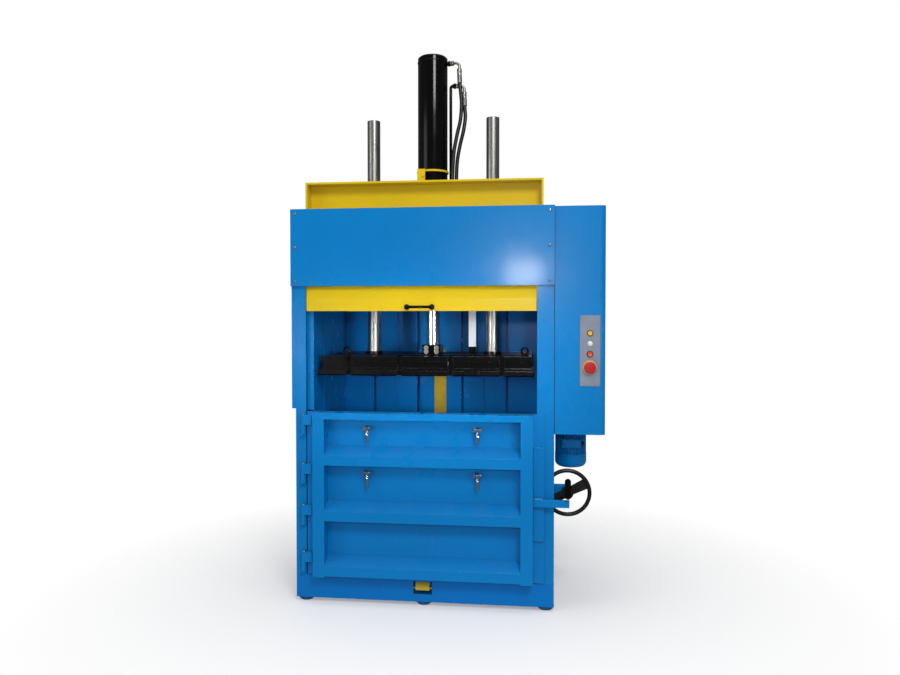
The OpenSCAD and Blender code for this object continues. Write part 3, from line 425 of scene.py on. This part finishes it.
class BALER_OT_finishes(bpy.types.Operator):
    """Give every frame node the finish of its material slot"""
    bl_idname = "baler.finishes"
    bl_label = "Finishes"

    def execute(self, context):
        make_finishes()
        slots = {part["node"]: part["material_slot"] for part in frame["record"]["subparts"]}
        paints = settings("baler_paints")
        special = {
            "trip_bar": bare_metal("galvanised bar", linear(214, 219, 226), 0.42, (1, 1, 0.2), 0.05, 0.15),
            # Chamber floor: real scrapes, chips and dust on the blue that is made darker as painted shade.
            "floor_plate": enamel("scraped floor enamel with painted shade", tuple(paints.shaded_blue), 0.36, 0.3, 0.8, 0.1,
                                  0.8),
            "platen_plate": enamel("rubbed black enamel", tuple(paints.black), 0.22, 0.05, 0.2, 0.4, 0.95),
            "platen_beams": enamel("rail black enamel", tuple(paints.black), 0.16, 0.05, 0.12, 0.6, 0.9),
        }
        for name, obj in frame["nodes"].items():
            obj.data.materials.clear()
            obj.data.materials.append(special.get(name, FINISHES[slots[name]]))
        return {"FINISHED"}


# Places on the machine, in millimetres from the ram's axis

SHIFT = np.array([-112.5, 30.0, 0.0])
PORT_TURN = math.radians(12)
BARREL_R, PIPE_R, PIPE_X = 80.0, 8.0, 98.0
TOP_PORT_Z, LOW_PORT_Z, GLAND_PORT_Z = 2806.0, 2692.0, 1710.0
UPPER_FERRULE_X, LOWER_FERRULE_X = 152.0, 172.0
FERRULE_DROP = 72.8
BULKHEAD_X, BULKHEAD_Z, BULKHEAD_YS = 505.0, 1760.0, (-120.0, -75.0)
UPPER_ROUTE = [
    (UPPER_FERRULE_X * math.cos(PORT_TURN), -UPPER_FERRULE_X * math.sin(PORT_TURN),
     TOP_PORT_Z - FERRULE_DROP),
    (150, -32, 2700), (156, -34, 2640), (160, -36, 2580), (154, -38, 2500), (136, -40, 2420),
    (120, -42, 2330), (112, -42, 2210), (112, -44, 2100), (116, -56, 1980), (148, -94, 1865),
    (230, -116, 1790), (360, -120, 1760), (BULKHEAD_X - 0.8, BULKHEAD_YS[0], BULKHEAD_Z)]
LOWER_ROUTE = [
    (LOWER_FERRULE_X, 0, LOW_PORT_Z - FERRULE_DROP),
    (174, -2, 2575), (177, -6, 2520), (168, -10, 2450), (149, -12, 2370), (135, -12, 2290),
    (130, -12, 2200), (131, -14, 2100), (140, -26, 1990), (174, -56, 1880), (250, -74, 1795),
    (380, -75, 1760), (BULKHEAD_X - 0.8, BULKHEAD_YS[1], BULKHEAD_Z)]


def machine(points):
    """Places given in millimetres from the ram's axis, in the frame's metres."""
    return (np.asarray(points, float) + SHIFT) * MM


# Hoses

HOSE_STEPS, HOSE_SIDES = 14, 24
HOSE_GUIDE = (0.2, 1.0, 0.1)


def ferrule(start, axis, radius):
    """A crimped steel sleeve: a plain tail over the elbow, then rings whose radius follows a cosine."""
    grip, crimps = 34.0, 5
    bore = radius / MM
    run = np.linspace(0, grip, 40)
    rings = np.stack([bore + 2.6 + 0.7 * np.cos(run / grip * 2 * np.pi * crimps), run], axis=1)
    tail = [(bore - 1, -40), (bore + 2.2, -40), (bore + 3, -38), (bore + 3, -22), (bore + 2.2, -20),
            (bore + 2.2, -2)]
    return turned(np.vstack([tail, rings, [(bore - 1, grip)]]), start, axis)


class BALER_OT_hoses(bpy.types.Operator):
    """Make the two hydraulic hoses with their crimped sleeves"""
    bl_idname = "baler.hoses"
    bl_label = "Hoses"

    def execute(self, context):
        radius = settings("baler_sizes").hose_diameter / 2
        for name, route in (("upper_hose", UPPER_ROUTE), ("lower_hose", LOWER_ROUTE)):
            path = smooth_route(machine(route), HOSE_STEPS)
            tube = sweep(path, radius, HOSE_SIDES, HOSE_GUIDE)
            hose = piece(name + "_rubber", [tube], "frame", FINISHES["hose_rubber"], 60)
            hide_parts(name)
            ends = ((path[0], path[1] - path[0]), (path[-1], path[-2] - path[-1]))
            crimped = [ferrule(end, along / np.linalg.norm(along), radius) for end, along in ends]
            sleeves = piece(name + "_sleeves", crimped, "frame", FINISHES["bare_steel"], 40)
        return {"FINISHED"}


# Pipework

ELBOW_R, ELBOW_BEND, ELBOW_DROP = 7.5, 26.0, 34.0
PIPE_BEND = 14.0


def bent_tube(corners, bend, radius, sides=24):
    """A tube along straight runs: each corner is the parabola that leaves one run and joins the next."""
    corners = np.asarray(corners, float)
    t = np.linspace(0, 1, 9)[:, None]
    path = [corners[:1]]
    for before, corner, after in zip(corners[:-2], corners[1:-1], corners[2:]):
        start = corner + bend * (before - corner) / np.linalg.norm(before - corner)
        end = corner + bend * (after - corner) / np.linalg.norm(after - corner)
        path.append((1 - t) ** 2 * start + 2 * t * (1 - t) * corner + t ** 2 * end)
    return sweep(machine(np.vstack(path + [corners[-1:]])), radius * MM, sides)


def union_nut(place, axis, flats, length):
    """A hexagon nut with a chamfer at both ends and a plain collar behind it."""
    chamfer = 1.5 * MM
    end = length * MM
    levels = [(0, 0.02), (0, 0.88), (chamfer, 1), (end - chamfer, 1), (end, 0.88), (end, 0.02)]
    nut = prism(hexagon(flats * MM), levels, machine(place), axis, basis(axis)[0])
    collar = turned([(0, -7), (10, -7), (11, -6), (11, 0), (0, 0)], machine(place), axis)
    return [nut, collar]


class BALER_OT_pipework(bpy.types.Operator):
    """Make the cylinder's rigid pipe, its unions and the steel elbows above the hoses"""
    bl_idname = "baler.pipework"
    bl_label = "Pipework"

    def execute(self, context):
        outward = np.array([math.cos(PORT_TURN), -math.sin(PORT_TURN), 0.0])
        top = np.array([0, 0, TOP_PORT_Z])
        low = np.array([0, 0, LOW_PORT_Z])
        gland = np.array([0, 0, GLAND_PORT_Z])
        inside = BARREL_R - 2
        pipe = [inside * X_AXIS + gland, PIPE_X * X_AXIS + gland, PIPE_X * X_AXIS + low,
                (PIPE_X + 40) * X_AXIS + low]
        stub = [inside * outward + top, (BARREL_R + 40) * outward + top]
        black = [bent_tube(pipe, PIPE_BEND, PIPE_R), bent_tube(stub, PIPE_BEND, PIPE_R)]
        black += union_nut((BARREL_R + 9) * outward + top, outward, 26, 12)
        black += union_nut((PIPE_X + 16) * X_AXIS + low, X_AXIS, 26, 14)
        black += union_nut((BARREL_R + 2) * X_AXIS + gland, X_AXIS, 24, 10)
        made = piece("cylinder_pipe", black, "frame", FINISHES["black_paint"], 40)
        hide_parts("hydraulic_pipework")
        steel = []
        for axis, start, end, port in ((outward, BARREL_R + 24, UPPER_FERRULE_X, top),
                                       (X_AXIS, PIPE_X + 33, LOWER_FERRULE_X, low)):
            steel += union_nut(start * axis + port, axis, 24, 15)
            knee = end * axis + port
            steel.append(bent_tube([(start + 10) * axis + port, knee, knee - ELBOW_DROP * Z_AXIS],
                                   ELBOW_BEND, ELBOW_R))
        for y in BULKHEAD_YS:
            steel += union_nut((BULKHEAD_X - 1, y, BULKHEAD_Z), X_AXIS, 30, 22)
            run = [(BULKHEAD_X, y, BULKHEAD_Z), (BULKHEAD_X + 50, y, BULKHEAD_Z)]
            steel.append(bent_tube(run, PIPE_BEND, 11))
        piece("hose_fittings", steel, "frame", FINISHES["bare_steel"], 40)
        return {"FINISHED"}


# Strap

PIN = np.array([-366.0, 92.0])
PEG = np.array([298.6, 1250.0])
PIN_LOOP_R, PEG_LOOP_R, LOOP_POINTS = 10.4, 8.4, 44
STRAP_W, STRAP_T = 70.0, 3.6
STRAP_RUN = [(-376.3, 97), (-374.6, 106), (-367, 114.5), (-357, 121.5), (-347, 130), (-338.5, 136.8),
             (-320, 137.2), (-100, 137.2), (120, 137.2),
             (267.8, 137.2), (295.8, 143.2), (305.8, 159.2), (307.8, 197.2), (307.8, 420), (307.8, 700),
             (307.8, 980), (307.8, 1200), (307.6, 1246)]


def loop(centre, radius, first, last):
    """Points on an arc about a centre in the upright plane, between two angles in degrees."""
    turn = np.radians(np.linspace(first, last, LOOP_POINTS))
    return centre + radius * np.stack([np.cos(turn), np.sin(turn)], axis=1)


def band(path, width, thickness):
    """A flat band along a path in the upright plane: a rounded rectangle at every point of the path."""
    along = np.gradient(path, axis=0)
    along = along / np.linalg.norm(along, axis=1)[:, None]
    normal = np.stack([-along[:, 1], along[:, 0]], axis=1)
    outline = rounded_outline(width, thickness, 0.32 * thickness, 3)
    flat = path[:, None] + outline[None, :, 1, None] * normal[:, None]
    across = np.broadcast_to(outline[None, :, 0], flat.shape[:2])
    points = np.stack([across, flat[..., 0], flat[..., 1]], axis=-1).reshape(-1, 3)
    return machine(points), grid_faces(len(path), len(outline))


class BALER_OT_strap(bpy.types.Operator):
    """Make the woven ejector strap, looped on its pin and its peg"""
    bl_idname = "baler.strap"
    bl_label = "Strap"

    def execute(self, context):
        front = loop(PIN, PIN_LOOP_R, 40, -178)
        back = loop(PEG, PEG_LOOP_R, 4, 285)
        run = smooth_route([(0, y, z) for y, z in STRAP_RUN], 10)[:, 1:]
        sag = 1.1 * np.sin(run[:, 1] / 61.0) ** 2 * np.clip((run[:, 1] - 230) / 200, 0, 1)
        run[:, 0] = run[:, 0] - sag
        path = np.vstack([front, run, back])
        strap = piece("ejector_webbing", [band(path, STRAP_W, STRAP_T)], "frame",
                      FINISHES["strap_webbing"], 50)
        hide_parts("ejector_strap")
        return {"FINISHED"}


# Fasteners

FRONT = -Y_AXIS
CARRIER_RING, CARRIER_STEP, CARRIER_GAP = 105.0, 30, 2.3


def hex_bolt(place, axis, flats, height):
    """A hexagon head with a chamfered top on a plain washer, its sizes in millimetres."""
    thick, rim = 1.8, 0.98 * flats
    washer = turned([(0, 0), (rim, 0), (rim, 1.3), (rim - 0.5, thick), (0, thick)], place, axis)
    end = height * MM
    levels = [(0, 0.02), (0, 1), (end - 1.2 * MM, 1), (end, 0.88), (end, 0.02)]
    head = prism(hexagon(flats * MM), levels, np.asarray(place) + thick * MM * axis, axis, basis(axis)[0])
    return [washer, head]


def cross_screw(place, axis, radius, height):
    """A domed head with a cross recess: a polar grid whose height falls inside two crossed bars."""
    across, up = basis(axis)
    turn = np.linspace(0, 2 * np.pi, 56, endpoint=False)
    ring = radius * MM * np.linspace(1, 0.02, 15)
    reach, angle = np.meshgrid(ring, turn, indexing="ij")
    u, v = reach * np.cos(angle), reach * np.sin(angle)
    dome = height * MM * (0.45 + 0.55 * np.sqrt(1 - 0.98 * (reach / ring[0]) ** 2))
    arm = 0.14 * ring[0]
    inside = ((np.abs(u) < arm) | (np.abs(v) < arm)) & (reach < 0.62 * ring[0])
    dome = dome - np.where(inside, 0.55 * height * MM, 0)
    u, v = np.vstack([u[:1], u]), np.vstack([v[:1], v])
    dome = np.vstack([np.zeros((1, len(turn))), dome])
    points = np.asarray(place) + u[..., None] * across + v[..., None] * up + dome[..., None] * axis
    return points.reshape(-1, 3), grid_faces(len(ring) + 1, len(turn))


def head_places(name, inset, rows, depth):
    """Middles of two columns of heads: spread evenly over a node's box less an inset, behind its front."""
    low, high = node_box(name)
    side, end = np.asarray(inset) * MM
    heights = np.linspace(low[2] + end, high[2] - end, rows)
    return [(x, low[1] + depth * MM, z) for x in (low[0] + side, high[0] - side) for z in heights]


class BALER_OT_fasteners(bpy.types.Operator):
    """Make the bolts and screws that show"""
    bl_idname = "baler.fasteners"
    bl_label = "Fasteners"

    def execute(self, context):
        steel = FINISHES["bare_steel"]
        heads = []
        for place in head_places("coupling_bolts", (6.5, 6.5), 2, 6):
            heads += hex_bolt(place, FRONT, 13, 4.2)
        bolts = piece("coupling_bolt_heads", heads, "ram", steel, 30)
        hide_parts("coupling_bolts")
        screws = [cross_screw(place, FRONT, 7, 4) for place in head_places("fascia_screws", (7, 7), 3, 4)]
        heads = piece("fascia_screw_heads", screws, "frame", steel, 30)
        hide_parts("fascia_screws")
        screws = [cross_screw(place, FRONT, 3.6, 2) for place in head_places("control_plate", (7, 8), 2, 0)]
        piece("plate_screws", screws, "frame", steel, 30)
        deck = node_box("cylinder_carrier")[1][2]
        turns = np.radians(np.arange(15, 375, CARRIER_STEP))
        heads = []
        for turn in turns[np.abs(np.cos(turns + CARRIER_GAP)) < 0.9]:
            place = machine((CARRIER_RING * math.cos(turn), CARRIER_RING * math.sin(turn), 0))
            heads += hex_bolt(place + deck * Z_AXIS, Z_AXIS, 18, 9)
        piece("carrier_bolts", heads, "frame", steel, 30)
        return {"FINISHED"}


# Controls

def control(node):
    """A control's middle on the plate's face, and its radius and rise from the plate in millimetres."""
    low, high = node_box(node)
    middle = (low + high) / 2
    plate = node_box("control_plate")[0][1]
    return (middle[0], plate, middle[2]), (high[2] - low[2]) / 2 / MM, (plate - low[1]) / MM


class BALER_OT_controls(bpy.types.Operator):
    """Make the push buttons, the lamp, the emergency cap and their rings"""
    bl_idname = "baler.controls"
    bl_label = "Controls"

    def execute(self, context):
        rings = []
        for node, body, slot in (("start_button", "start", "start_yellow"),
                                 ("stop_button", "stop", "stop_orange")):
            centre, flange, rise = control(node)
            radius = flange - 3
            cap = [(0, rise - 1.6), (0.45 * radius, rise - 1.3), (0.78 * radius, rise - 0.4),
                   (0.90 * radius, rise), (0.97 * radius, rise - 0.5), (radius, rise - 1.6),
                   (radius, -10), (0, -10)]
            made = piece(body + "_cap", [turned(cap, centre, FRONT, 48)], body, FINISHES[slot], 50)
            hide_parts(node)
            rim = radius + 0.5
            ring = [(rim, -1), (rim, 3.2), (rim + 0.8, 4), (rim + 3, 3.4), (rim + 4, 0), (rim, -1)]
            rings.append(turned(ring, centre, FRONT, 48))
        piece("button_rings", rings, "frame", FINISHES["black_plastic"], 40)
        centre, radius = control("indicator_lamp")[:2]
        turn = np.linspace(0, np.pi / 2, 12)
        dome = np.stack([(radius - 3) * np.sin(turn), 2 + 4 * np.cos(turn)], axis=1)
        flange = [(radius - 2.6, 2.6), (radius - 0.6, 2.4), (radius, 0.8), (radius, 0), (0, 0)]
        lens = piece("lamp_cap", [turned(np.vstack([dome, flange]), centre, FRONT, 40)], "frame",
                     FINISHES["lamp_lens"], 50)
        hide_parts("indicator_lamp")
        centre, radius, rise = control("emergency_stop")
        turn = np.radians(np.linspace(90, 0, 14))
        face = [(0, rise), (0.35 * radius, rise - 0.05), (0.68 * radius, rise - 0.2)]
        crown = np.stack([radius * (0.80 + 0.2 * np.cos(turn)), rise - 8 + 7.6 * np.sin(turn)], axis=1)
        stem = [(radius, rise - 14), (0.94 * radius, rise - 18), (0.45 * radius, rise - 19),
                (0.40 * radius, -12), (0, -12)]
        cap = piece("emergency_cap", [turned(np.vstack([face, crown, stem]), centre, FRONT, 64)],
                    "emergency", FINISHES["emergency_red"], 50)
        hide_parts("emergency_stop")
        hole, edge = 0.55 * radius, 1.12 * radius
        ring = [(hole, 0), (edge, 0), (1.15 * radius, 0.7), (edge, 1.6), (hole, 1.6), (hole, 0)]
        piece("emergency_ring", [turned(ring, centre, FRONT, 64)], "frame",
              FINISHES["start_yellow"], 40)
        return {"FINISHED"}


# Hooks

HOOK_R, HOOK_BORE = 12.0, 5.3


class BALER_OT_hooks(bpy.types.Operator):
    """Make the four strap hooks: a turned, tapering shank under a drilled eye"""
    bl_idname = "baler.hooks"
    bl_label = "Hooks"

    def execute(self, context):
        ring = [(HOOK_BORE, -9), (11, -9), (HOOK_R, -8), (HOOK_R, 8), (11, 9), (HOOK_BORE, 9),
                (HOOK_BORE, -9)]
        for row, side in (("upper", "left"), ("upper", "right"), ("lower", "left"), ("lower", "right")):
            node = f"{row}_{side}_hook"
            low, high = node_box(node)
            middle = (low[0] + high[0]) / 2
            axis = np.array([middle, high[1] - HOOK_R * MM, high[2] - HOOK_R * MM])
            foot = (low[2] - axis[2]) / MM
            shank = [(0, -9), (8.6, -9), (9.0, -13), (7.4, -15), (7.4, -17), (9.0, -19),
                     (9.0, 0.55 * foot), (7.2, foot + 8), (6.6, foot + 3), (4.4, foot + 0.7), (0, foot)]
            shapes = [turned(ring, axis, X_AXIS, 40), turned(shank, axis, Z_AXIS, 40)]
            made = piece(node + "_turned", shapes, f"hook_{row}_{side}",
                         FINISHES["rod_chrome"], 40)
            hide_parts(node)
        return {"FINISHED"}


# Welds and small hardware

DROP, BEAD_STEP = 6.5e-3, 1.5e-3
RIB_H, RIB_SLOPE = 50.0, 42.0
DOOR_RIBS = (152.0, 429.0, 708.0)
DOOR_RECESSES = ((244.0, 429.0), (521.0, 708.0), (800.0, 938.0))
DOOR_INNER, DOOR_SKIN, DOOR_LIP = 488.0, -358.0, -430.0
BEAM_T, BEAM_WEB = 10.0, 70.0
EYE_XS, EYE_Y, PRESS_TOP = (-440.0, 500.0), -150.0, 1250.0
HINGE_X, HINGE_Y = -606.0, -386.0
HINGE_TOPS = (260.0, 499.0, 708.0, 955.0)
GRILLE_RINGS = (14, 22, 30, 38, 46)
LID_T = 3.2


def bead(start, end, radius, side=Z_AXIS):
    """A weld bead: a round section along a line, its radius swelling with every drop and wavering."""
    start, end = np.asarray(start, float), np.asarray(end, float)
    length = float(np.linalg.norm(end - start))
    run = np.linspace(0, length, max(12, int(length / BEAD_STEP)))
    drop = 0.5 + 0.5 * np.cos(2 * np.pi * run / DROP + 0.8 * np.sin(run * 190))
    path = start + (end - start) * (run / length)[:, None]
    wide = radius * (0.86 + 0.16 * drop + 0.05 * np.sin(run * 83))
    wide = wide * np.clip(np.minimum(run, length - run) / 4e-3, 0.15, 1)
    return sweep(path, wide, 10, side)


def circle(centre, axis, ring, count):
    """Points round a circle about an axis, the last on the first."""
    across, up = basis(axis)
    turn = np.linspace(0, 2 * np.pi, count)[:, None]
    return np.asarray(centre) + ring * (np.cos(turn) * across + np.sin(turn) * up)


def ring_bead(centre, axis, ring, radius):
    """A weld bead round a circle, swelling with every drop."""
    around = 2 * np.pi * ring
    count = int(around / BEAD_STEP)
    turn = np.linspace(0, 2 * np.pi, count)
    swell = 0.86 + 0.16 * np.cos(round(around / DROP) * turn)
    return sweep(circle(centre, axis, ring, count), radius * swell, 10, axis)


def eye(centre, axis, ring, wire):
    """A ring of round bar: circles of the bar's radius set around a larger circle."""
    return sweep(circle(centre, axis, ring, 48), wire, 14, axis)


class BALER_OT_hardware(bpy.types.Operator):
    """Make the weld beads, the press plate's eyes, the cabinet's seam and the hinge pin heads"""
    bl_idname = "baler.hardware"
    bl_label = "Hardware"

    def execute(self, context):
        size = settings("baler_sizes").bead
        black = FINISHES["black_paint"]
        beads = []
        for z in DOOR_RIBS:
            for x in (-DOOR_INNER, DOOR_INNER):
                slope = [(x, DOOR_LIP + 3, z + RIB_H), (x, DOOR_SKIN, z + RIB_H + RIB_SLOPE)]
                beads.append(bead(*machine(slope), size, X_AXIS))
            foot = [(-DOOR_INNER, DOOR_SKIN, z), (DOOR_INNER, DOOR_SKIN, z)]
            beads.append(bead(*machine(foot), 0.8 * size))
        for low, high in DOOR_RECESSES:
            for x in (-DOOR_INNER, DOOR_INNER):
                beads.append(bead(*machine([(x, DOOR_SKIN, low), (x, DOOR_SKIN, high)]), size, X_AXIS))
        piece("door_welds", beads, "door", FINISHES["blue_paint"], 60, caps=False)
        eyes = []
        for x in EYE_XS:
            foot = machine((x, EYE_Y, PRESS_TOP))
            eyes.append(eye(foot + 22 * MM * Z_AXIS, Y_AXIS, 17 * MM, 5 * MM))
            eyes.append(turned([(0, -1), (15, -1), (15, 3), (8, 7), (0, 7)], foot, Z_AXIS))
        piece("platen_eyes", eyes, "ram", black, 40)
        top = node_box("cylinder_barrel")[1][2] - 30 * MM
        rings = [ring_bead(machine((0, 0, 0)) + top * Z_AXIS, Z_AXIS, BARREL_R * MM, 2.6 * MM)]
        piece("barrel_weld", rings, "frame", black, 60)
        low, high = node_box("cabinet_cover")
        base = node_box("cabinet_shell")[0][2]
        seam = bead((low[0], low[1], base + 2 * MM), (low[0], low[1], high[2] - 2 * MM), 1.6 * MM, X_AXIS)
        piece("cabinet_seam", [seam], "frame", FINISHES["black_plastic"], 60)
        low, high = node_box("crossbeams")
        wall = BEAM_T * MM
        corners = []
        for x in (low[0] + wall, high[0] - wall):
            for web in (low[1] + BEAM_WEB * MM, high[1] - BEAM_WEB * MM):
                corners.append(bead((x, web, low[2] + wall), (x, web, high[2] - wall), size, Y_AXIS))
        piece("beam_welds", corners, "frame", FINISHES["yellow_paint"], 60, caps=False)
        head = [(0, 0), (9, 0), (9, 2.5), (7, 5), (0, 6)]
        pins = [turned(head, machine((HINGE_X, HINGE_Y, top)), Z_AXIS) for top in HINGE_TOPS]
        piece("hinge_pin_heads", pins, "frame", FINISHES["bare_steel"], 40)
        return {"FINISHED"}


class BALER_OT_motor(bpy.types.Operator):
    """Make the motor's terminal lid, its cable gland and the cowl's grille"""
    bl_idname = "baler.motor"
    bl_label = "Motor"

    def execute(self, context):
        blue = FINISHES["blue_paint"]
        face = node_box("motor_housing")[0][1]
        low, high = node_box("motor_cowl")
        middle = (low + high) / 2
        lid_place = np.array([middle[0], face, high[2] + 58 * MM])
        edge = LID_T * MM
        levels = [(0, 0.02), (0, 1), (edge - 0.8 * MM, 1), (edge, 0.97), (edge, 0.02)]
        lid = prism(rounded_outline(90 * MM, 38 * MM, 5 * MM), levels, lid_place, FRONT, X_AXIS)
        piece("terminal_lid", [lid], "frame", blue, 30)
        screws = [cross_screw(lid_place + np.array([x, -LID_T, z]) * MM, FRONT, 3.4, 2)
                  for x in (-38, 38) for z in (-13, 13)]
        piece("terminal_screws", screws, "frame", FINISHES["bare_steel"], 30)
        gland = turned([(0, 0), (12, 0), (12, 6), (10, 7), (10, 13), (7, 16), (0, 16)],
                       lid_place + np.array([48, 18, 0]) * MM, X_AXIS, 24)
        piece("cable_gland", [gland], "frame", FINISHES["black_plastic"], 40)
        centre = (middle[0], middle[1], low[2] + 0.4 * MM)
        grille = [eye(centre, Z_AXIS, ring * MM, 1.6 * MM) for ring in GRILLE_RINGS]
        piece("cowl_grille", grille, "frame", blue, 60)
        return {"FINISHED"}


# Stage

def lamp(name, place, aim, size, power, spread=180):
    """An oblong area light at a place, looking at a point, its beam as wide as the spread in degrees."""
    data = bpy.data.lights.new(name, "AREA")
    data.shape = "RECTANGLE"
    data.size, data.size_y = size
    data.energy = power
    data.spread = math.radians(spread)
    obj = bpy.data.objects.new(name, data)
    bpy.context.scene.collection.objects.link(obj)
    obj.location = place
    look = np.asarray(aim, float) - np.asarray(place, float)
    look = look / np.linalg.norm(look)
    obj.rotation_euler = (math.acos(-look[2]), 0, math.atan2(look[1], look[0]) - math.pi / 2)
    return obj


class BALER_OT_stage(bpy.types.Operator):
    """Place the floor, the lights, the white surround and the camera"""
    bl_idname = "baler.stage"
    bl_label = "Stage"

    def execute(self, context):
        stage = settings("baler_stage")
        scene = context.scene
        camera_data = bpy.data.cameras.new("view")
        camera_data.sensor_width = 36
        camera_data.lens = stage.lens
        camera_data.sensor_fit = "HORIZONTAL"
        camera = bpy.data.objects.new("view", camera_data)
        scene.collection.objects.link(camera)
        camera.location = stage.eye
        camera.rotation_euler = (math.pi / 2 + stage.pitch, 0, stage.yaw)
        scene.camera = camera
        floor_mesh = bpy.data.meshes.new("floor")
        floor_mesh.from_pydata([(-14, -9, 0), (14, -9, 0), (14, 16, 0), (-14, 16, 0)], [], [(0, 1, 2, 3)])
        material, tree, shader = blank("pale floor")
        shader.inputs["Base Color"].default_value = (0.95, 0.95, 0.95, 1)
        shader.inputs["Roughness"].default_value = 0.8
        place = add(tree, "ShaderNodeTexCoord").outputs["Object"]
        reach = add(tree, "ShaderNodeVectorMath", {0: place}, operation="LENGTH").outputs["Value"]
        clear = add(tree, "ShaderNodeBsdfTransparent")
        far = remap(tree, reach, 0.8, 2.2, 0.3, 1)
        fade = add(tree, "ShaderNodeMixShader", {0: far, 1: shader.outputs[0], 2: clear.outputs[0]})
        tree.links.new(fade.outputs[0], tree.nodes["Material Output"].inputs["Surface"])
        floor_mesh.materials.append(material)
        floor = bpy.data.objects.new("floor", floor_mesh)
        floor.visible_glossy = False
        scene.collection.objects.link(floor)
        lights = [
            lamp("key", (1.6, -4.4, 4.6), (0, -0.2, 1.2), (1.4, 1.4), 132),
            lamp("fill", (-4.4, -3.4, 2.6), (0, 0, 1.2), (2.6, 2.6), 40),
            lamp("top", (0.2, -0.8, 6.0), (0, -0.1, 1.5), (3.0, 3.0), 80),
            lamp("chamber_left", (-1.9, -3.0, 1.30), (0.1, 0.3, 1.15), (0.5, 0.3), 0.6, 22),
            lamp("chamber_right", (1.9, -3.0, 1.30), (-0.35, 0.3, 1.15), (0.5, 0.3), 1.0, 22),
            lamp("glare", (0.30, -4.35, 1.90), (0.2, -0.4, 1.6), (0.35, 0.25), 24),
        ]
        world = bpy.data.worlds.new("white surround")
        world.use_nodes = True
        tree = world.node_tree
        tree.nodes.clear()
        path = add(tree, "ShaderNodeLightPath")
        seen = add(tree, "ShaderNodeBackground", {"Color": (1, 1, 1, 1), "Strength": 1.0})
        light = add(tree, "ShaderNodeBackground", {"Color": (0.95, 0.97, 1, 1), "Strength": 0.40})
        gloss = add(tree, "ShaderNodeBackground", {"Color": (0.95, 0.97, 1, 1), "Strength": 0.15})
        rays = {0: path.outputs["Is Glossy Ray"], 1: path.outputs["Is Transmission Ray"]}
        bounced = add(tree, "ShaderNodeMath", rays, operation="ADD", use_clamp=True).outputs[0]
        dim = add(tree, "ShaderNodeMixShader", {0: bounced, 1: light.outputs[0], 2: gloss.outputs[0]})
        direct = path.outputs["Is Camera Ray"]
        mix = add(tree, "ShaderNodeMixShader", {0: direct, 1: dim.outputs[0], 2: seen.outputs[0]})
        add(tree, "ShaderNodeOutputWorld", {"Surface": mix.outputs[0]})
        scene.world = world
        scene.view_settings.view_transform = "Standard"
        scene.view_settings.look = "None"
        return {"FINISHED"}


# Add-on

CLASSES = [BalerPaints, BalerSizes, BalerStage, BALER_OT_finishes, BALER_OT_hoses, BALER_OT_pipework,
           BALER_OT_strap, BALER_OT_fasteners, BALER_OT_controls, BALER_OT_hooks, BALER_OT_hardware,
           BALER_OT_motor, BALER_OT_stage]


class BALER_PT_sidebar(bpy.types.Panel):
    """Settings and steps of the baler"""
    bl_idname = "BALER_PT_sidebar"
    bl_label = "Recycling baler"
    bl_space_type = "VIEW_3D"
    bl_region_type = "UI"
    bl_category = "Baler"

    def draw(self, context):
        for group in ("baler_paints", "baler_sizes", "baler_stage"):
            data = getattr(context.scene, group)
            box = self.layout.box()
            for key in data.bl_rna.properties.keys():
                if key not in ("rna_type", "name"):
                    box.prop(data, key)
        for kind in CLASSES:
            if issubclass(kind, bpy.types.Operator):
                self.layout.operator(kind.bl_idname)


def register():
    """Add the settings, the steps and the sidebar."""
    for kind in CLASSES + [BALER_PT_sidebar]:
        bpy.utils.register_class(kind)
    bpy.types.Scene.baler_paints = PointerProperty(type=BalerPaints)
    bpy.types.Scene.baler_sizes = PointerProperty(type=BalerSizes)
    bpy.types.Scene.baler_stage = PointerProperty(type=BalerStage)


def unregister():
    """Take away what register added."""
    del bpy.types.Scene.baler_stage
    del bpy.types.Scene.baler_sizes
    del bpy.types.Scene.baler_paints
    for kind in reversed(CLASSES + [BALER_PT_sidebar]):
        bpy.utils.unregister_class(kind)


def main():
    """Run every step in order."""
    register()
    bpy.ops.baler.finishes()
    bpy.ops.baler.hoses()
    bpy.ops.baler.pipework()
    bpy.ops.baler.strap()
    bpy.ops.baler.fasteners()
    bpy.ops.baler.controls()
    bpy.ops.baler.hooks()
    bpy.ops.baler.hardware()
    bpy.ops.baler.motor()
    bpy.ops.baler.stage()


if __name__ == "__main__":
    main()
